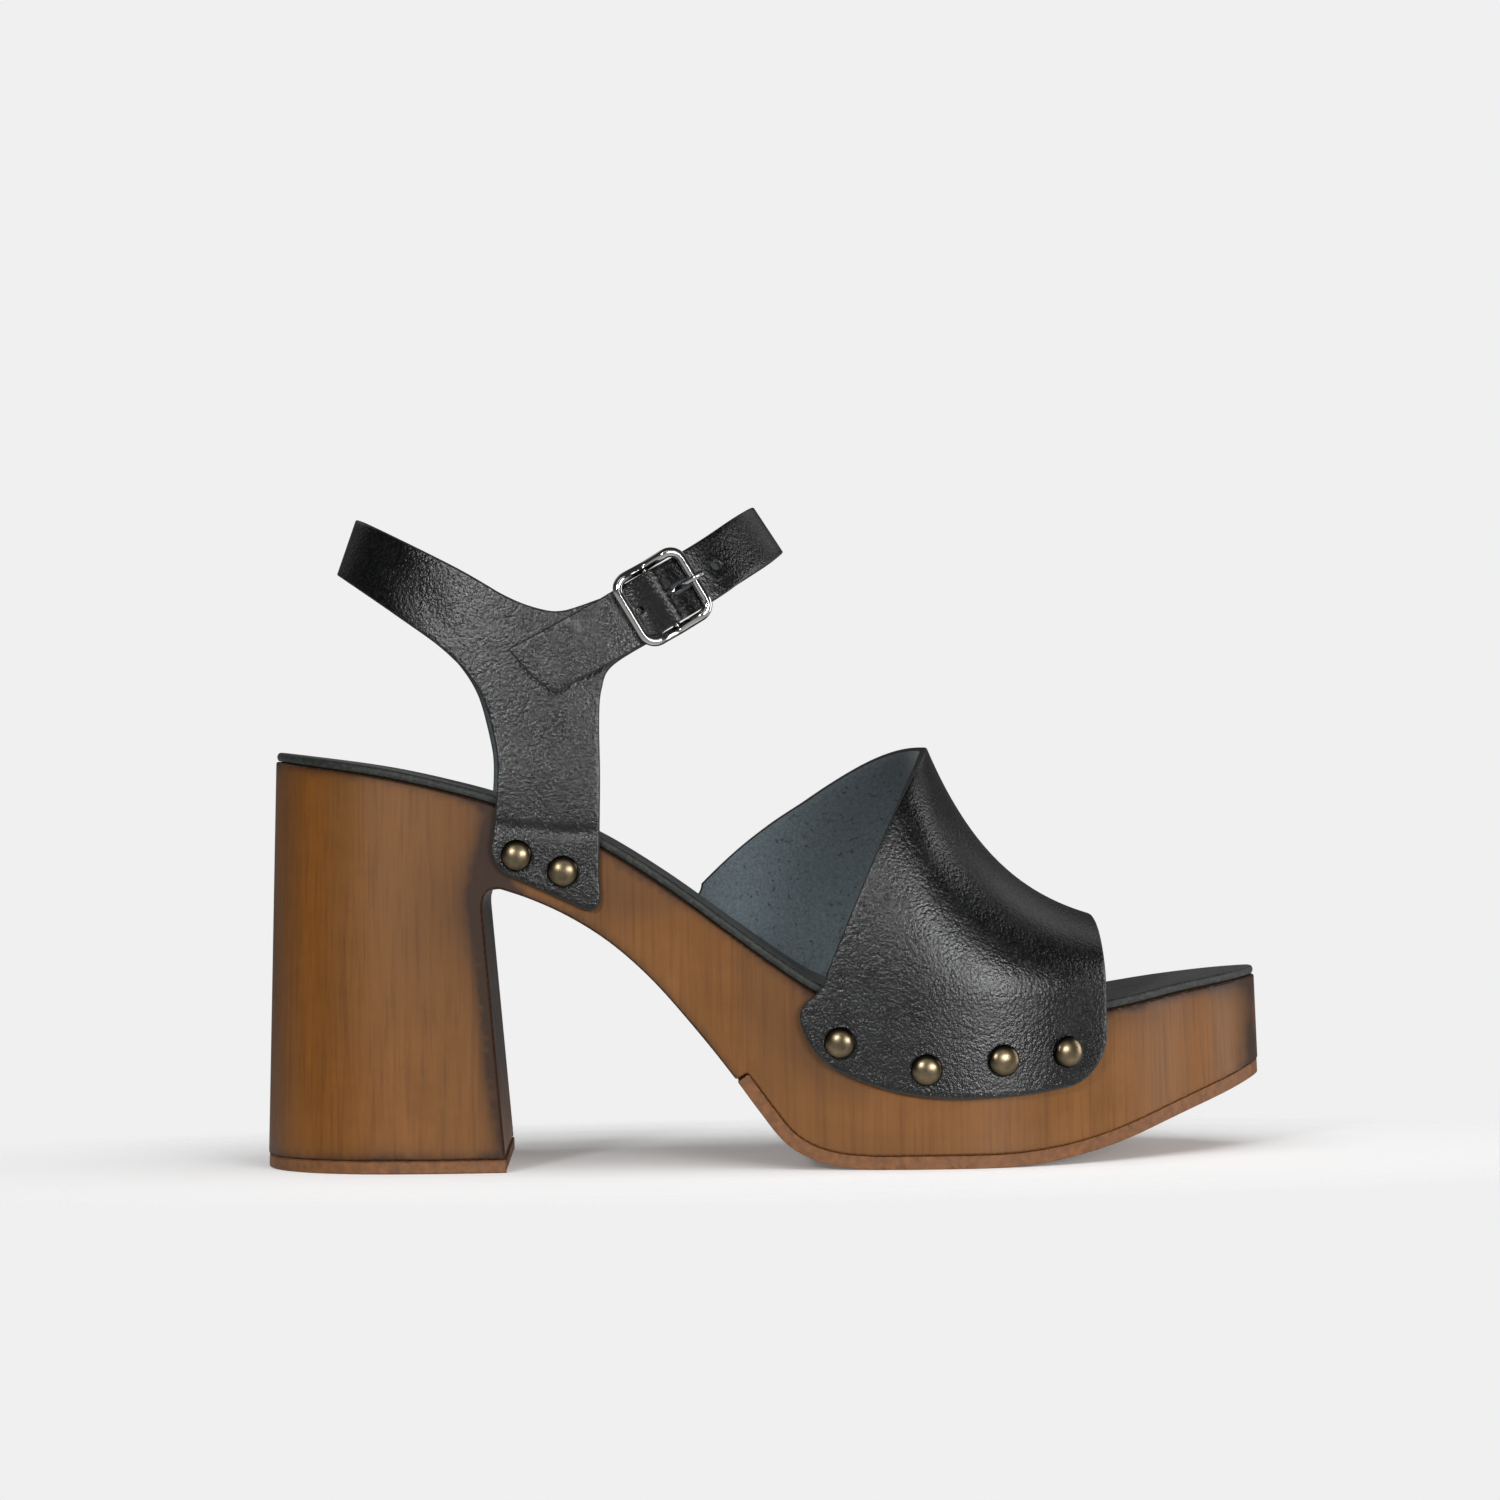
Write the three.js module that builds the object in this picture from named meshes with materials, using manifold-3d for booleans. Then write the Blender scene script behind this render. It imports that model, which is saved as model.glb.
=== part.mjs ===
// Right shoe of a pair of women's clog sandals: a wood platform with a block heel, a
// closed leather vamp nailed to its sides, and a Y-shaped ankle strap with a buckle.
// Millimetres. +X points to the toe, +Y to the inner (medial) side and +Z up. The origin
// is on the floor, under the middle of the heel.
import * as THREE from "three";
import { mergeVertices } from "three/addons/utils/BufferGeometryUtils.js";
import Module from "manifold-3d";

const wasm = await Module();
wasm.setup();

// Driving dimensions of the platform
const LENGTH = 231.4; // footbed, from the back of the heel seat to the toe tip
const BALL_WIDTH = 84; // platform at its widest
const HEEL_BACK = -25; // where the heel seat ends behind the origin
const HEEL_HEIGHT = 96; // floor to the footbed at the back of the heel
const PLATFORM = 35; // floor to the footbed under the ball
const TOE_LIFT = 8; // how far the footbed rises again at the toe tip
const SHANK = 21; // depth of the platform where the waist leaves the heel
const HEEL_FLARE = 3.2; // how far the heel spreads out from the seat to the floor
const TOE_DRAFT = 1.3; // how far the toe's wall leans in at its top
const HEEL_DEPTH = 28.4; // origin to the heel's front face, at the floor
const BREAST_LEAN = 5; // how far the heel's front face leans back at its top
const ROCKER = 110; // radius of the tread in front of the ball
const TOE_SLOPE = 0.36; // where the tread reaches this slope, it runs on straight
const TREAD = 2.8; // outsole thickness
const TOP_PIECE = 2.8; // heel top piece thickness
const INSOLE = 1.8; // leather that covers the footbed
const SEAM = 0.3; // gap between two pieces that meet
const SNUG = 0.45; // gap between the upper and the platform's wall

// Driving dimensions of the upper
const VAMP_WALL = 2;
const QUARTER_WALL = 1.8;
const STRAP_WALL = 1.6;
const THROAT_RISE = 62; // footbed under the ball to the peak of the vamp
const RIDGE_FLOOR = 15; // height that the vamp's ridge levels out to
const RIDGE_FALL = 19.1; // length over which the ridge falls to 37 percent
const RIDGE_SHIFT = 3; // the ridge lies this far to the inner side
const HIP_RISE = 3; // height over the footbed where the vamp starts to close in
const FLAP_DROP = 19; // how far the vamp hangs over the platform's side
const FLAP_SAG = 2.2; // how much less that is at the flap's two ends
const ANKLE_RISE = 70; // footbed under the strap's tab to the top of the loop
const LOOP_HALF = 0.3274 * BALL_WIDTH; // half of the loop's breadth at its top
const LOOP_SPREAD = 0.055; // how much wider each side gets per mm downwards
const STRAP_WIDTH = 13.5;
const NAIL_HEAD = 7.3;
const NAIL_DOME = 2.4;
const NAIL_SHANK = 1.8;
const NAIL_LENGTH = 9;

// Plan outline, as shares of LENGTH and BALL_WIDTH; side 1 is medial, side -1 lateral
const PLAN = [
  { along: 0.0109, lateral: 0.137, medial: 0.137 },
  { along: 0.0386, lateral: 0.238, medial: 0.238 },
  { along: 0.0861, lateral: 0.313, medial: 0.313 },
  { along: 0.1514, lateral: 0.345, medial: 0.345 },
  { along: 0.2286, lateral: 0.357, medial: 0.355 },
  { along: 0.3157, lateral: 0.367, medial: 0.348 },
  { along: 0.4107, lateral: 0.396, medial: 0.355 },
  { along: 0.5057, lateral: 0.44, medial: 0.393 },
  { along: 0.5839, lateral: 0.476, medial: 0.443 },
  { along: 0.6482, lateral: 0.494, medial: 0.483 },
  { along: 0.7046, lateral: 0.488, medial: 0.505 },
  { along: 0.7561, lateral: 0.452, medial: 0.51 },
  { along: 0.8085, lateral: 0.386, medial: 0.5 },
  { along: 0.86, lateral: 0.298, medial: 0.468 },
  { along: 0.9075, lateral: 0.196, medial: 0.408 },
  { along: 0.956, lateral: 0.095, medial: 0.327 },
  { along: 0.983, lateral: 0, medial: 0.244 },
  { along: 0.9965, lateral: -0.077, medial: 0.179 },
];
const TOE_TIP_SHIFT = 0.131; // the toe tip lies to the inner side, as a share of BALL_WIDTH

// Top of the footbed: climb is a share of the heel's extra height, lift of TOE_LIFT
const FOOTBED = [
  { along: 0, climb: 1.01, lift: 0 },
  { along: 0.1079, climb: 0.948, lift: 0 },
  { along: 0.1811, climb: 0.884, lift: 0 },
  { along: 0.2286, climb: 0.831, lift: 0 },
  { along: 0.2811, climb: 0.757, lift: 0 },
  { along: 0.3325, climb: 0.666, lift: 0 },
  { along: 0.3959, climb: 0.512, lift: 0 },
  { along: 0.4641, climb: 0.32, lift: 0 },
  { along: 0.5037, climb: 0.21, lift: 0 },
  { along: 0.5423, climb: 0.115, lift: 0 },
  { along: 0.5918, climb: 0.043, lift: 0 },
  { along: 0.6482, climb: 0.005, lift: 0 },
  { along: 0.7125, climb: 0, lift: 0 },
  { along: 0.7778, climb: 0, lift: 0.08 },
  { along: 0.8422, climb: 0, lift: 0.31 },
  { along: 0.9114, climb: 0, lift: 0.65 },
  { along: 1, climb: 0, lift: 1 },
];

// Underside of the waist, as a share of its height where it leaves the heel
const UNDERSIDE = [
  { along: 0.2157, height: 1 },
  { along: 0.2583, height: 0.948 },
  { along: 0.2969, height: 0.883 },
  { along: 0.3365, height: 0.791 },
  { along: 0.3751, height: 0.668 },
  { along: 0.4137, height: 0.512 },
  { along: 0.4523, height: 0.34 },
  { along: 0.48, height: 0.205 },
  { along: 0.5037, height: 0.1 },
  { along: 0.5285, height: 0.042 },
  { along: 0.5572, height: 0.012 },
  { along: 0.5918, height: 0 },
];
const FLAT_END = 0.7046; // where the tread leaves the floor, in shares of LENGTH
const TREAD_START = 0.4582; // rear end of the outsole

const atShare = (share) => HEEL_BACK + share * LENGTH;
const shareAt = (x) => (x - HEEL_BACK) / LENGTH;
const clamp = (v, low, high) => Math.min(high, Math.max(low, v));
const mix = (a, b, t) => a + (b - a) * t;
const smooth = (low, high, v) => THREE.MathUtils.smoothstep(v, low, high);

// A smooth curve through one column of a table, read at a share of the length.
function readTable(rows, column, share) {
  const last = rows.length - 1;
  if (share <= rows[0].along) return rows[0][column];
  if (share >= rows[last].along) return rows[last][column];
  const i = rows.findIndex((row) => row.along > share) - 1;
  const slopeAt = (k) => {
    const a = rows[Math.max(0, k - 1)];
    const b = rows[Math.min(last, k + 1)];
    return (b[column] - a[column]) / (b.along - a.along);
  };
  const span = rows[i + 1].along - rows[i].along;
  const t = (share - rows[i].along) / span;
  const rise = rows[i + 1][column] - rows[i][column];
  const m0 = slopeAt(i) * span;
  const m1 = slopeAt(i + 1) * span;
  return rows[i][column] + t * (m0 + t * (3 * rise - 2 * m0 - m1 + t * (m0 + m1 - 2 * rise)));
}

function footbedZ(x) {
  const share = shareAt(x);
  const climb = readTable(FOOTBED, "climb", share);
  const lift = readTable(FOOTBED, "lift", share);
  return PLATFORM + climb * (HEEL_HEIGHT - PLATFORM) + lift * TOE_LIFT;
}

const waistX = atShare(UNDERSIDE[0].along);
const waistZ = footbedZ(waistX) - SHANK;
const flatEndX = atShare(FLAT_END);

const toeAngle = Math.atan(TOE_SLOPE);
const straightX = flatEndX + ROCKER * Math.sin(toeAngle);

function undersideZ(x) {
  if (x > straightX) return ROCKER * (1 - Math.cos(toeAngle)) + TOE_SLOPE * (x - straightX);
  if (x > flatEndX) return ROCKER - Math.sqrt(ROCKER ** 2 - (x - flatEndX) ** 2);
  return readTable(UNDERSIDE, "height", shareAt(x)) * waistZ;
}

// Solids: a closed geometry to a manifold solid and back
function toSolid(geometry) {
  const bare = new THREE.BufferGeometry();
  bare.setAttribute("position", geometry.getAttribute("position"));
  bare.setIndex(geometry.index);
  const merged = mergeVertices(bare, 1e-4);
  const faces = [];
  for (let i = 0; i < merged.index.count; i += 3) {
    const [a, b, c] = merged.index.array.slice(i, i + 3);
    if (a !== b && b !== c && c !== a) faces.push(a, b, c);
  }
  return new wasm.Manifold(
    new wasm.Mesh({
      numProp: 3,
      vertProperties: new Float32Array(merged.attributes.position.array),
      triVerts: new Uint32Array(faces),
    }),
  );
}

function toGeometry(solid) {
  const mesh = solid.getMesh();
  const geometry = new THREE.BufferGeometry();
  geometry.setAttribute("position", new THREE.BufferAttribute(mesh.vertProperties, 3));
  geometry.setIndex(new THREE.BufferAttribute(mesh.triVerts, 1));
  geometry.computeVertexNormals();
  return geometry;
}

// A closed solid between two grids of points, rows of equal length.
function wallSolid(inner, outer) {
  const rows = inner.length;
  const columns = inner[0].length;
  const points = [...inner.flat(), ...outer.flat()];
  const at = (layer, r, c) => layer * rows * columns + r * columns + c;
  const faces = [];
  const quad = (a, b, c, d) => faces.push(a, b, c, a, c, d);
  const lastRow = rows - 1;
  const lastColumn = columns - 1;
  for (let r = 0; r < lastRow; r++) {
    for (let c = 0; c < lastColumn; c++) {
      quad(at(1, r, c), at(1, r, c + 1), at(1, r + 1, c + 1), at(1, r + 1, c));
      quad(at(0, r, c), at(0, r + 1, c), at(0, r + 1, c + 1), at(0, r, c + 1));
    }
  }
  for (let c = 0; c < lastColumn; c++) {
    quad(at(0, 0, c), at(0, 0, c + 1), at(1, 0, c + 1), at(1, 0, c));
    quad(at(0, lastRow, c + 1), at(0, lastRow, c), at(1, lastRow, c), at(1, lastRow, c + 1));
  }
  for (let r = 0; r < lastRow; r++) {
    quad(at(0, r + 1, 0), at(0, r, 0), at(1, r, 0), at(1, r + 1, 0));
    const side = lastColumn;
    quad(at(0, r, side), at(0, r + 1, side), at(1, r + 1, side), at(1, r, side));
  }
  const geometry = new THREE.BufferGeometry().setFromPoints(points);
  geometry.setIndex(faces);
  const solid = toSolid(geometry);
  if (solid.volume() > 0) return solid;
  geometry.setIndex(faces.reverse());
  return toSolid(geometry);
}

// Moves each point of a grid along the surface's normal, by a distance or a function of it.
function offsetGrid(grid, distance, outward) {
  const last = grid.length - 1;
  const wide = grid[0].length;
  return grid.map((row, r) =>
    row.map((point, c) => {
      const before = row[Math.max(0, c - 1)];
      const after = row[Math.min(wide - 1, c + 1)];
      const across = after.clone().sub(before);
      const along = grid[Math.min(last, r + 1)][c].clone().sub(grid[Math.max(0, r - 1)][c]);
      const normal = across.cross(along).normalize();
      if (normal.dot(outward(point)) < 0) normal.negate();
      const far = typeof distance === "function" ? distance(r, c) : distance;
      return point.clone().addScaledVector(normal, far);
    }),
  );
}

// A shape drawn in X and Z, carried across the shoe from one Y to another.
function acrossShoe(outline, fromY, toY) {
  const geometry = new THREE.ExtrudeGeometry(new THREE.Shape(outline), {
    depth: toY - fromY,
    bevelEnabled: false,
    curveSegments: 1,
  });
  geometry.rotateX(Math.PI / 2);
  geometry.translate(0, toY, 0);
  return toSolid(geometry);
}

// Plan outline
const OUTLINE_POINTS = 88;
const tip = new THREE.Vector3(atShare(1), TOE_TIP_SHIFT * BALL_WIDTH, 0);
const onSide = (row, side) =>
  new THREE.Vector3(
    atShare(row.along),
    side * BALL_WIDTH * (side < 0 ? row.lateral : row.medial),
    0,
  );
const planCurve = new THREE.CatmullRomCurve3(
  [
    new THREE.Vector3(HEEL_BACK, 0, 0),
    ...PLAN.map((row) => onSide(row, -1)),
    tip,
    ...PLAN.map((row) => onSide(row, 1)).reverse(),
  ],
  true,
);
const planPoints = planCurve.getSpacedPoints(OUTLINE_POINTS).slice(0, OUTLINE_POINTS);
const planNormals = planPoints.map((_, i) => {
  const tangent = planPoints[(i + 1) % OUTLINE_POINTS]
    .clone()
    .sub(planPoints[(i + OUTLINE_POINTS - 1) % OUTLINE_POINTS])
    .normalize();
  return new THREE.Vector3(tangent.y, -tangent.x, 0);
});

// How far the wall stands out of the plan outline, at a height and a place along the shoe.
function wallLean(x, z) {
  const heel = HEEL_FLARE * (1 - z / HEEL_HEIGHT) * (1 - smooth(0.12, 0.42, shareAt(x)));
  const toe = TOE_DRAFT * (z / (PLATFORM + TOE_LIFT)) * smooth(0.78, 0.95, shareAt(x));
  return heel - toe;
}

const ringAt = (z, inset) =>
  planPoints.map((p, i) => {
    const moved = p.clone().addScaledVector(planNormals[i], wallLean(p.x, z) - inset);
    return moved.setZ(z);
  });

const UNDER_FLOOR = -1;
const OVER_HEEL = HEEL_HEIGHT + 5;

// The block that the platform's pieces are cut from, its walls drawn in by an inset.
function block(inset) {
  const low = ringAt(UNDER_FLOOR, inset);
  const high = ringAt(OVER_HEEL, inset);
  const flat = low.map((p) => new THREE.Vector2(p.x, p.y));
  const cap = THREE.ShapeUtils.triangulateShape(flat, []);
  const faces = [];
  for (let i = 0; i < OUTLINE_POINTS; i++) {
    const j = (i + 1) % OUTLINE_POINTS;
    faces.push(i, j, j + OUTLINE_POINTS, i, j + OUTLINE_POINTS, i + OUTLINE_POINTS);
  }
  for (const [a, b, c] of cap) {
    faces.push(a, c, b, a + OUTLINE_POINTS, b + OUTLINE_POINTS, c + OUTLINE_POINTS);
  }
  const geometry = new THREE.BufferGeometry().setFromPoints([...low, ...high]);
  geometry.setIndex(faces);
  return toSolid(geometry);
}

// The platform's wall in Y at a place along the shoe and a height, positive on either side.
const sideRuns = new Map();
for (const side of [-1, 1]) {
  const lean = (z) =>
    ringAt(z, 0)
      .filter((p, i) => side * (planPoints[i].y - tip.y * smooth(0.9, 1, shareAt(p.x))) > 0)
      .sort((a, b) => a.x - b.x);
  sideRuns.set(side, [lean(0), lean(HEEL_HEIGHT)]);
}
function readRun(run, x) {
  const i = clamp(
    run.findIndex((p) => p.x > x),
    1,
    run.length - 1,
  );
  const t = clamp((x - run[i - 1].x) / (run[i].x - run[i - 1].x), 0, 1);
  return mix(run[i - 1].y, run[i].y, t);
}
function wallY(side, x, z) {
  const [floor, top] = sideRuns.get(side);
  return mix(readRun(floor, x), readRun(top, x), z / HEEL_HEIGHT);
}

// Platform, outsole, heel top piece and insole
const REACH = 10; // how far a cutting outline passes the block
const BLOCK_HALF = BALL_WIDTH;
const PROFILE_STEPS = 34;
const steps = (from, to, count) =>
  Array.from({ length: count + 1 }, (_, i) => mix(from, to, i / count));
const flatPoint = (x, z) => new THREE.Vector2(x, z);
const endX = atShare(1) + REACH;
const startX = HEEL_BACK - REACH;

// A run of points a fixed distance under or over a profile, square to it.
function besideProfile(height, distance, from, to, count) {
  const step = 0.5;
  return steps(from, to, count).map((x) => {
    const slope = (height(x + step) - height(x - step)) / (2 * step);
    const long = Math.hypot(1, slope);
    return flatPoint(x - (distance * slope) / long, height(x) + distance / long);
  });
}

const treadStartX = atShare(TREAD_START);
const breastTop = HEEL_DEPTH - BREAST_LEAN;
const BREAST_FILLET = 3;

function platformProfile() {
  const top = besideProfile(footbedZ, -INSOLE - SEAM, startX, endX, PROFILE_STEPS).reverse();
  const waist = steps(waistX + BREAST_FILLET, treadStartX, 16).map((x) =>
    flatPoint(x, undersideZ(x)),
  );
  const tread = besideProfile(undersideZ, TREAD + SEAM, treadStartX, endX - REACH / 2, 30);
  const fillet = new THREE.QuadraticBezierCurve(
    flatPoint(breastTop + 0.3, waistZ - 2 * BREAST_FILLET),
    flatPoint(breastTop, waistZ - 0.2),
    flatPoint(waistX + BREAST_FILLET, undersideZ(waistX + BREAST_FILLET)),
  ).getPoints(5);
  return [
    flatPoint(startX, TOP_PIECE + SEAM),
    flatPoint(HEEL_DEPTH - 0.2, TOP_PIECE + SEAM),
    ...fillet,
    ...waist.slice(1),
    ...tread,
    flatPoint(endX, tread[tread.length - 1].y + 3),
    ...top,
  ];
}

function treadProfile() {
  const under = steps(treadStartX + SEAM, endX - REACH / 2, 34).map((x) =>
    flatPoint(x, undersideZ(x)),
  );
  const over = besideProfile(undersideZ, TREAD, treadStartX + SEAM, endX - REACH / 2, 30);
  return [...under, ...over.reverse()];
}

function insoleProfile() {
  const under = besideProfile(footbedZ, -INSOLE, startX, endX, PROFILE_STEPS);
  const over = steps(startX, endX, PROFILE_STEPS).map((x) => flatPoint(x, footbedZ(x)));
  return [...under, ...over.reverse()];
}

const TREAD_INSET = 0.2;
const wholeBlock = block(0);
const drawnInBlock = block(TREAD_INSET);
const platform = wholeBlock.intersect(acrossShoe(platformProfile(), -BLOCK_HALF, BLOCK_HALF));
const outsole = drawnInBlock.intersect(acrossShoe(treadProfile(), -BLOCK_HALF, BLOCK_HALF));
const insole = drawnInBlock.intersect(acrossShoe(insoleProfile(), -BLOCK_HALF, BLOCK_HALF));
const topPiece = drawnInBlock.intersect(
  acrossShoe(
    [
      flatPoint(startX, 0),
      flatPoint(HEEL_DEPTH, 0),
      flatPoint(HEEL_DEPTH, TOP_PIECE),
      flatPoint(startX, TOP_PIECE),
    ],
    -BLOCK_HALF,
    BLOCK_HALF,
  ),
);

// Vamp: a surface over the forefoot, its hip at the platform's edge and its ridge on top
const VAMP_FRONT = 0.8214; // front edge, as a share of LENGTH
const THROAT_PEAK = 0.6505; // where the ridge ends at the back
const REAR_START = { [-1]: 0.5435, [1]: 0.423 }; // where the rear edge meets the footbed
const REAR_BOW = { [-1]: 1.2, [1]: 1.58 }; // how the rear edge bows up on its way to the peak
const SECTION_POWER = 2.2;
const FLAP_BACK = 0.026; // how far the flap's rear corner reaches back, of LENGTH
const FLAP_CORNER = { front: { wide: 9, high: 9.5 }, rear: { wide: 8, high: 7 } };
const FLAP_TURN = 13; // depth over which the flap's rear edge turns back
const peakX = atShare(THROAT_PEAK);
const RIDGE_SETTLE = 8;
const RIDGE_BACK_SLOPE = 1.1;

function ridgeZ(x) {
  const drop = THROAT_RISE - RIDGE_FLOOR;
  const level = PLATFORM + RIDGE_FLOOR - VAMP_WALL;
  if (x >= peakX) return level + drop * Math.exp((peakX - x) / RIDGE_FALL);
  const behind = peakX - x;
  const extra = (drop / RIDGE_FALL - RIDGE_BACK_SLOPE) * RIDGE_SETTLE;
  const settled = extra * (1 - Math.exp(-behind / RIDGE_SETTLE));
  return level + drop + RIDGE_BACK_SLOPE * behind + settled;
}
const hipZ = (x) => footbedZ(x) + HIP_RISE;

// A point of the vamp's inner face. turn runs from 0 at the hip to 1 on the ridge.
function vampPoint(side, turn, x) {
  const angle = (turn * Math.PI) / 2;
  const power = 2 / SECTION_POWER;
  const edge = wallY(side, x, hipZ(x)) + side * SNUG;
  const y = mix(RIDGE_SHIFT, edge, Math.cos(angle) ** power);
  const z = mix(hipZ(x), ridgeZ(x), Math.sin(angle) ** power);
  return new THREE.Vector3(x, y, z);
}

// Height of the rear edge over the footbed, seen from the side.
function rearEdgeZ(side, x) {
  const start = atShare(REAR_START[side]);
  const t = clamp((x - start) / (peakX - start), 0, 1);
  return footbedZ(x) + (ridgeZ(peakX) - footbedZ(peakX)) * (1 - (1 - t) ** REAR_BOW[side]);
}
function rearX(side, turn) {
  let low = atShare(REAR_START[side]);
  let high = peakX;
  for (let i = 0; i < 40; i++) {
    const x = (low + high) / 2;
    if (vampPoint(side, turn, x).z > rearEdgeZ(side, x)) low = x;
    else high = x;
  }
  return (low + high) / 2;
}
const frontX = atShare(VAMP_FRONT);

function cornerRise(distance, corner) {
  if (distance >= corner.wide) return 0;
  return corner.high * (1 - Math.sqrt(1 - (1 - distance / corner.wide) ** 2));
}

// One column of the vamp's inner face on one side, from the flap's edge to the ridge.
const FLAP_ROWS = 4;
const SECTION_ROWS = 12;
function vampColumn(side, v) {
  const hipRear = rearX(side, 0);
  const reach = (depth) => hipRear - FLAP_BACK * LENGTH * smooth(0, FLAP_TURN, depth);
  const lowX = mix(frontX, reach(FLAP_TURN), v);
  const wide = frontX - reach(FLAP_TURN);
  const rise =
    cornerRise(v * wide, FLAP_CORNER.front) + cornerRise((1 - v) * wide, FLAP_CORNER.rear);
  const drop = HIP_RISE + FLAP_DROP - FLAP_SAG * (2 * v - 1) ** 2 - rise;
  const column = [];
  for (let i = 0; i < FLAP_ROWS; i++) {
    const depth = drop * (1 - i / FLAP_ROWS);
    const x = mix(frontX, reach(depth), v);
    const z = hipZ(x) - depth;
    column.push(new THREE.Vector3(x, wallY(side, x, z) + side * SNUG, z));
  }
  for (let i = 0; i <= SECTION_ROWS; i++) {
    const turn = i / SECTION_ROWS;
    column.push(vampPoint(side, turn, mix(frontX, rearX(side, turn), v)));
  }
  return column;
}
const VAMP_COLUMNS = 18;
const vampGrid = Array.from({ length: VAMP_COLUMNS + 1 }, (_, i) => {
  const v = (1 - Math.cos((Math.PI * i) / VAMP_COLUMNS)) / 2;
  return [...vampColumn(-1, v), ...vampColumn(1, v).reverse().slice(1)];
});
const fromVampAxis = (p) => new THREE.Vector3(0, p.y - RIDGE_SHIFT, p.z - footbedZ(p.x) + 1);
const vampWall = wallSolid(vampGrid, offsetGrid(vampGrid, VAMP_WALL, fromVampAxis));

// Ankle strap. Its shape is a hollow form round the ankle, an oval at every height.
const ANKLE_SEAT = HEEL_HEIGHT - 14; // footbed's height where the strap's tabs stand
const LOOP_LEVEL = ANKLE_SEAT + 0.9 * ANKLE_RISE; // where the loop's two ends are measured
const LOOP_BACK = 0.0831; // back of the loop at that height, as a share of LENGTH
const LOOP_FRONT = 0.4988; // front of the loop at that height
const LEAN_BACK = 0.36; // how far the back comes forward for each mm up
const LEAN_FRONT = -0.64; // how far the front goes back for each mm up
const OVAL_POWER = 2.3;
const TAB_BLEND = 16; // height over the footbed where the form leaves the platform's wall

function loopEnds(z) {
  return {
    back: atShare(LOOP_BACK) + LEAN_BACK * (z - LOOP_LEVEL),
    front: atShare(LOOP_FRONT) + LEAN_FRONT * (z - LOOP_LEVEL),
  };
}
const loopHalf = (z) => LOOP_HALF + LOOP_SPREAD * (ANKLE_SEAT + ANKLE_RISE - z);

// A point of the form. The angle is zero at the front and grows over the lateral side.
function anklePoint(angle, z) {
  const { back, front } = loopEnds(z);
  const power = 2 / OVAL_POWER;
  const c = Math.cos(angle);
  const s = -Math.sin(angle);
  const side = Math.sign(s) || 1;
  const x = (back + front) / 2 + ((front - back) / 2) * Math.sign(c) * Math.abs(c) ** power;
  const free = side * loopHalf(z) * Math.abs(s) ** power;
  const low = footbedZ(x);
  const onWall = 1 - smooth(low, low + TAB_BLEND, z);
  const nailed = Math.abs(c) < 0.8 ? onWall : 0;
  return new THREE.Vector3(x, mix(free, wallY(side, x, z) + side * SNUG, nailed), z);
}

// Edges of the Y-shaped quarter and of the strap, seen from the side. along is a share of
// LENGTH, rise a share of ANKLE_RISE over ANKLE_SEAT.
const QUARTER_REAR = [
  { along: 0.2206, rise: -0.13 },
  { along: 0.2277, rise: 0.109 },
  { along: 0.2253, rise: 0.239 },
  { along: 0.2118, rise: 0.396 },
  { along: 0.1798, rise: 0.525 },
  { along: 0.1305, rise: 0.65 },
  { along: 0.0689, rise: 0.796 },
];
const QUARTER_TOP = [
  { along: 0.0841, rise: 0.988 },
  { along: 0.1435, rise: 0.886 },
  { along: 0.1885, rise: 0.807 },
  { along: 0.2128, rise: 0.76 },
  { along: 0.2338, rise: 0.717 },
  { along: 0.2548, rise: 0.683 },
  { along: 0.2757, rise: 0.661 },
  { along: 0.2904, rise: 0.656 },
  { along: 0.3073, rise: 0.668 },
  { along: 0.348, rise: 0.715 },
];
const QUARTER_FRONT = [
  { along: 0.3266, rise: -0.2 },
  { along: 0.3286, rise: 0.104 },
  { along: 0.3286, rise: 0.3 },
  { along: 0.3315, rise: 0.4 },
  { along: 0.3424, rise: 0.475 },
  { along: 0.386, rise: 0.562 },
];
const STRAP_TOP = [
  { along: 0.2415, rise: 0.533 },
  { along: 0.2839, rise: 0.608 },
  { along: 0.3263, rise: 0.684 },
  { along: 0.3475, rise: 0.725 },
  { along: 0.4156, rise: 0.853 },
  { along: 0.461, rise: 0.954 },
  { along: 0.4829, rise: 1.001 },
];
const STRAP_LOW = [
  { along: 0.2851, rise: 0.386 },
  { along: 0.3167, rise: 0.44 },
  { along: 0.3465, rise: 0.492 },
  { along: 0.3699, rise: 0.536 },
  { along: 0.4434, rise: 0.684 },
  { along: 0.4701, rise: 0.747 },
  { along: 0.5165, rise: 0.857 },
];
const TAB_FOOT = [
  { along: 0.2205, rise: -0.178 },
  { along: 0.3275, rise: -0.342 },
];
const TAB_CORNER = 5;
const MEDIAL_SET_BACK = 3; // the inner tab stands this much further back
const MEDIAL_LIFT = { low: 3, top: 1 }; // how much higher the inner arms' edges pass

const edgePoint = (row) => flatPoint(atShare(row.along), ANKLE_SEAT + row.rise * ANKLE_RISE);
const smoothEdge = (rows, count) => new THREE.SplineCurve(rows.map(edgePoint)).getPoints(count);
// Carries an edge on past its last point.
function carriedOn(points, far) {
  const [a, b] = points.slice(-2);
  const step = b.clone().sub(a).normalize().multiplyScalar(far);
  return [...points, b.clone().add(step)];
}

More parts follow.
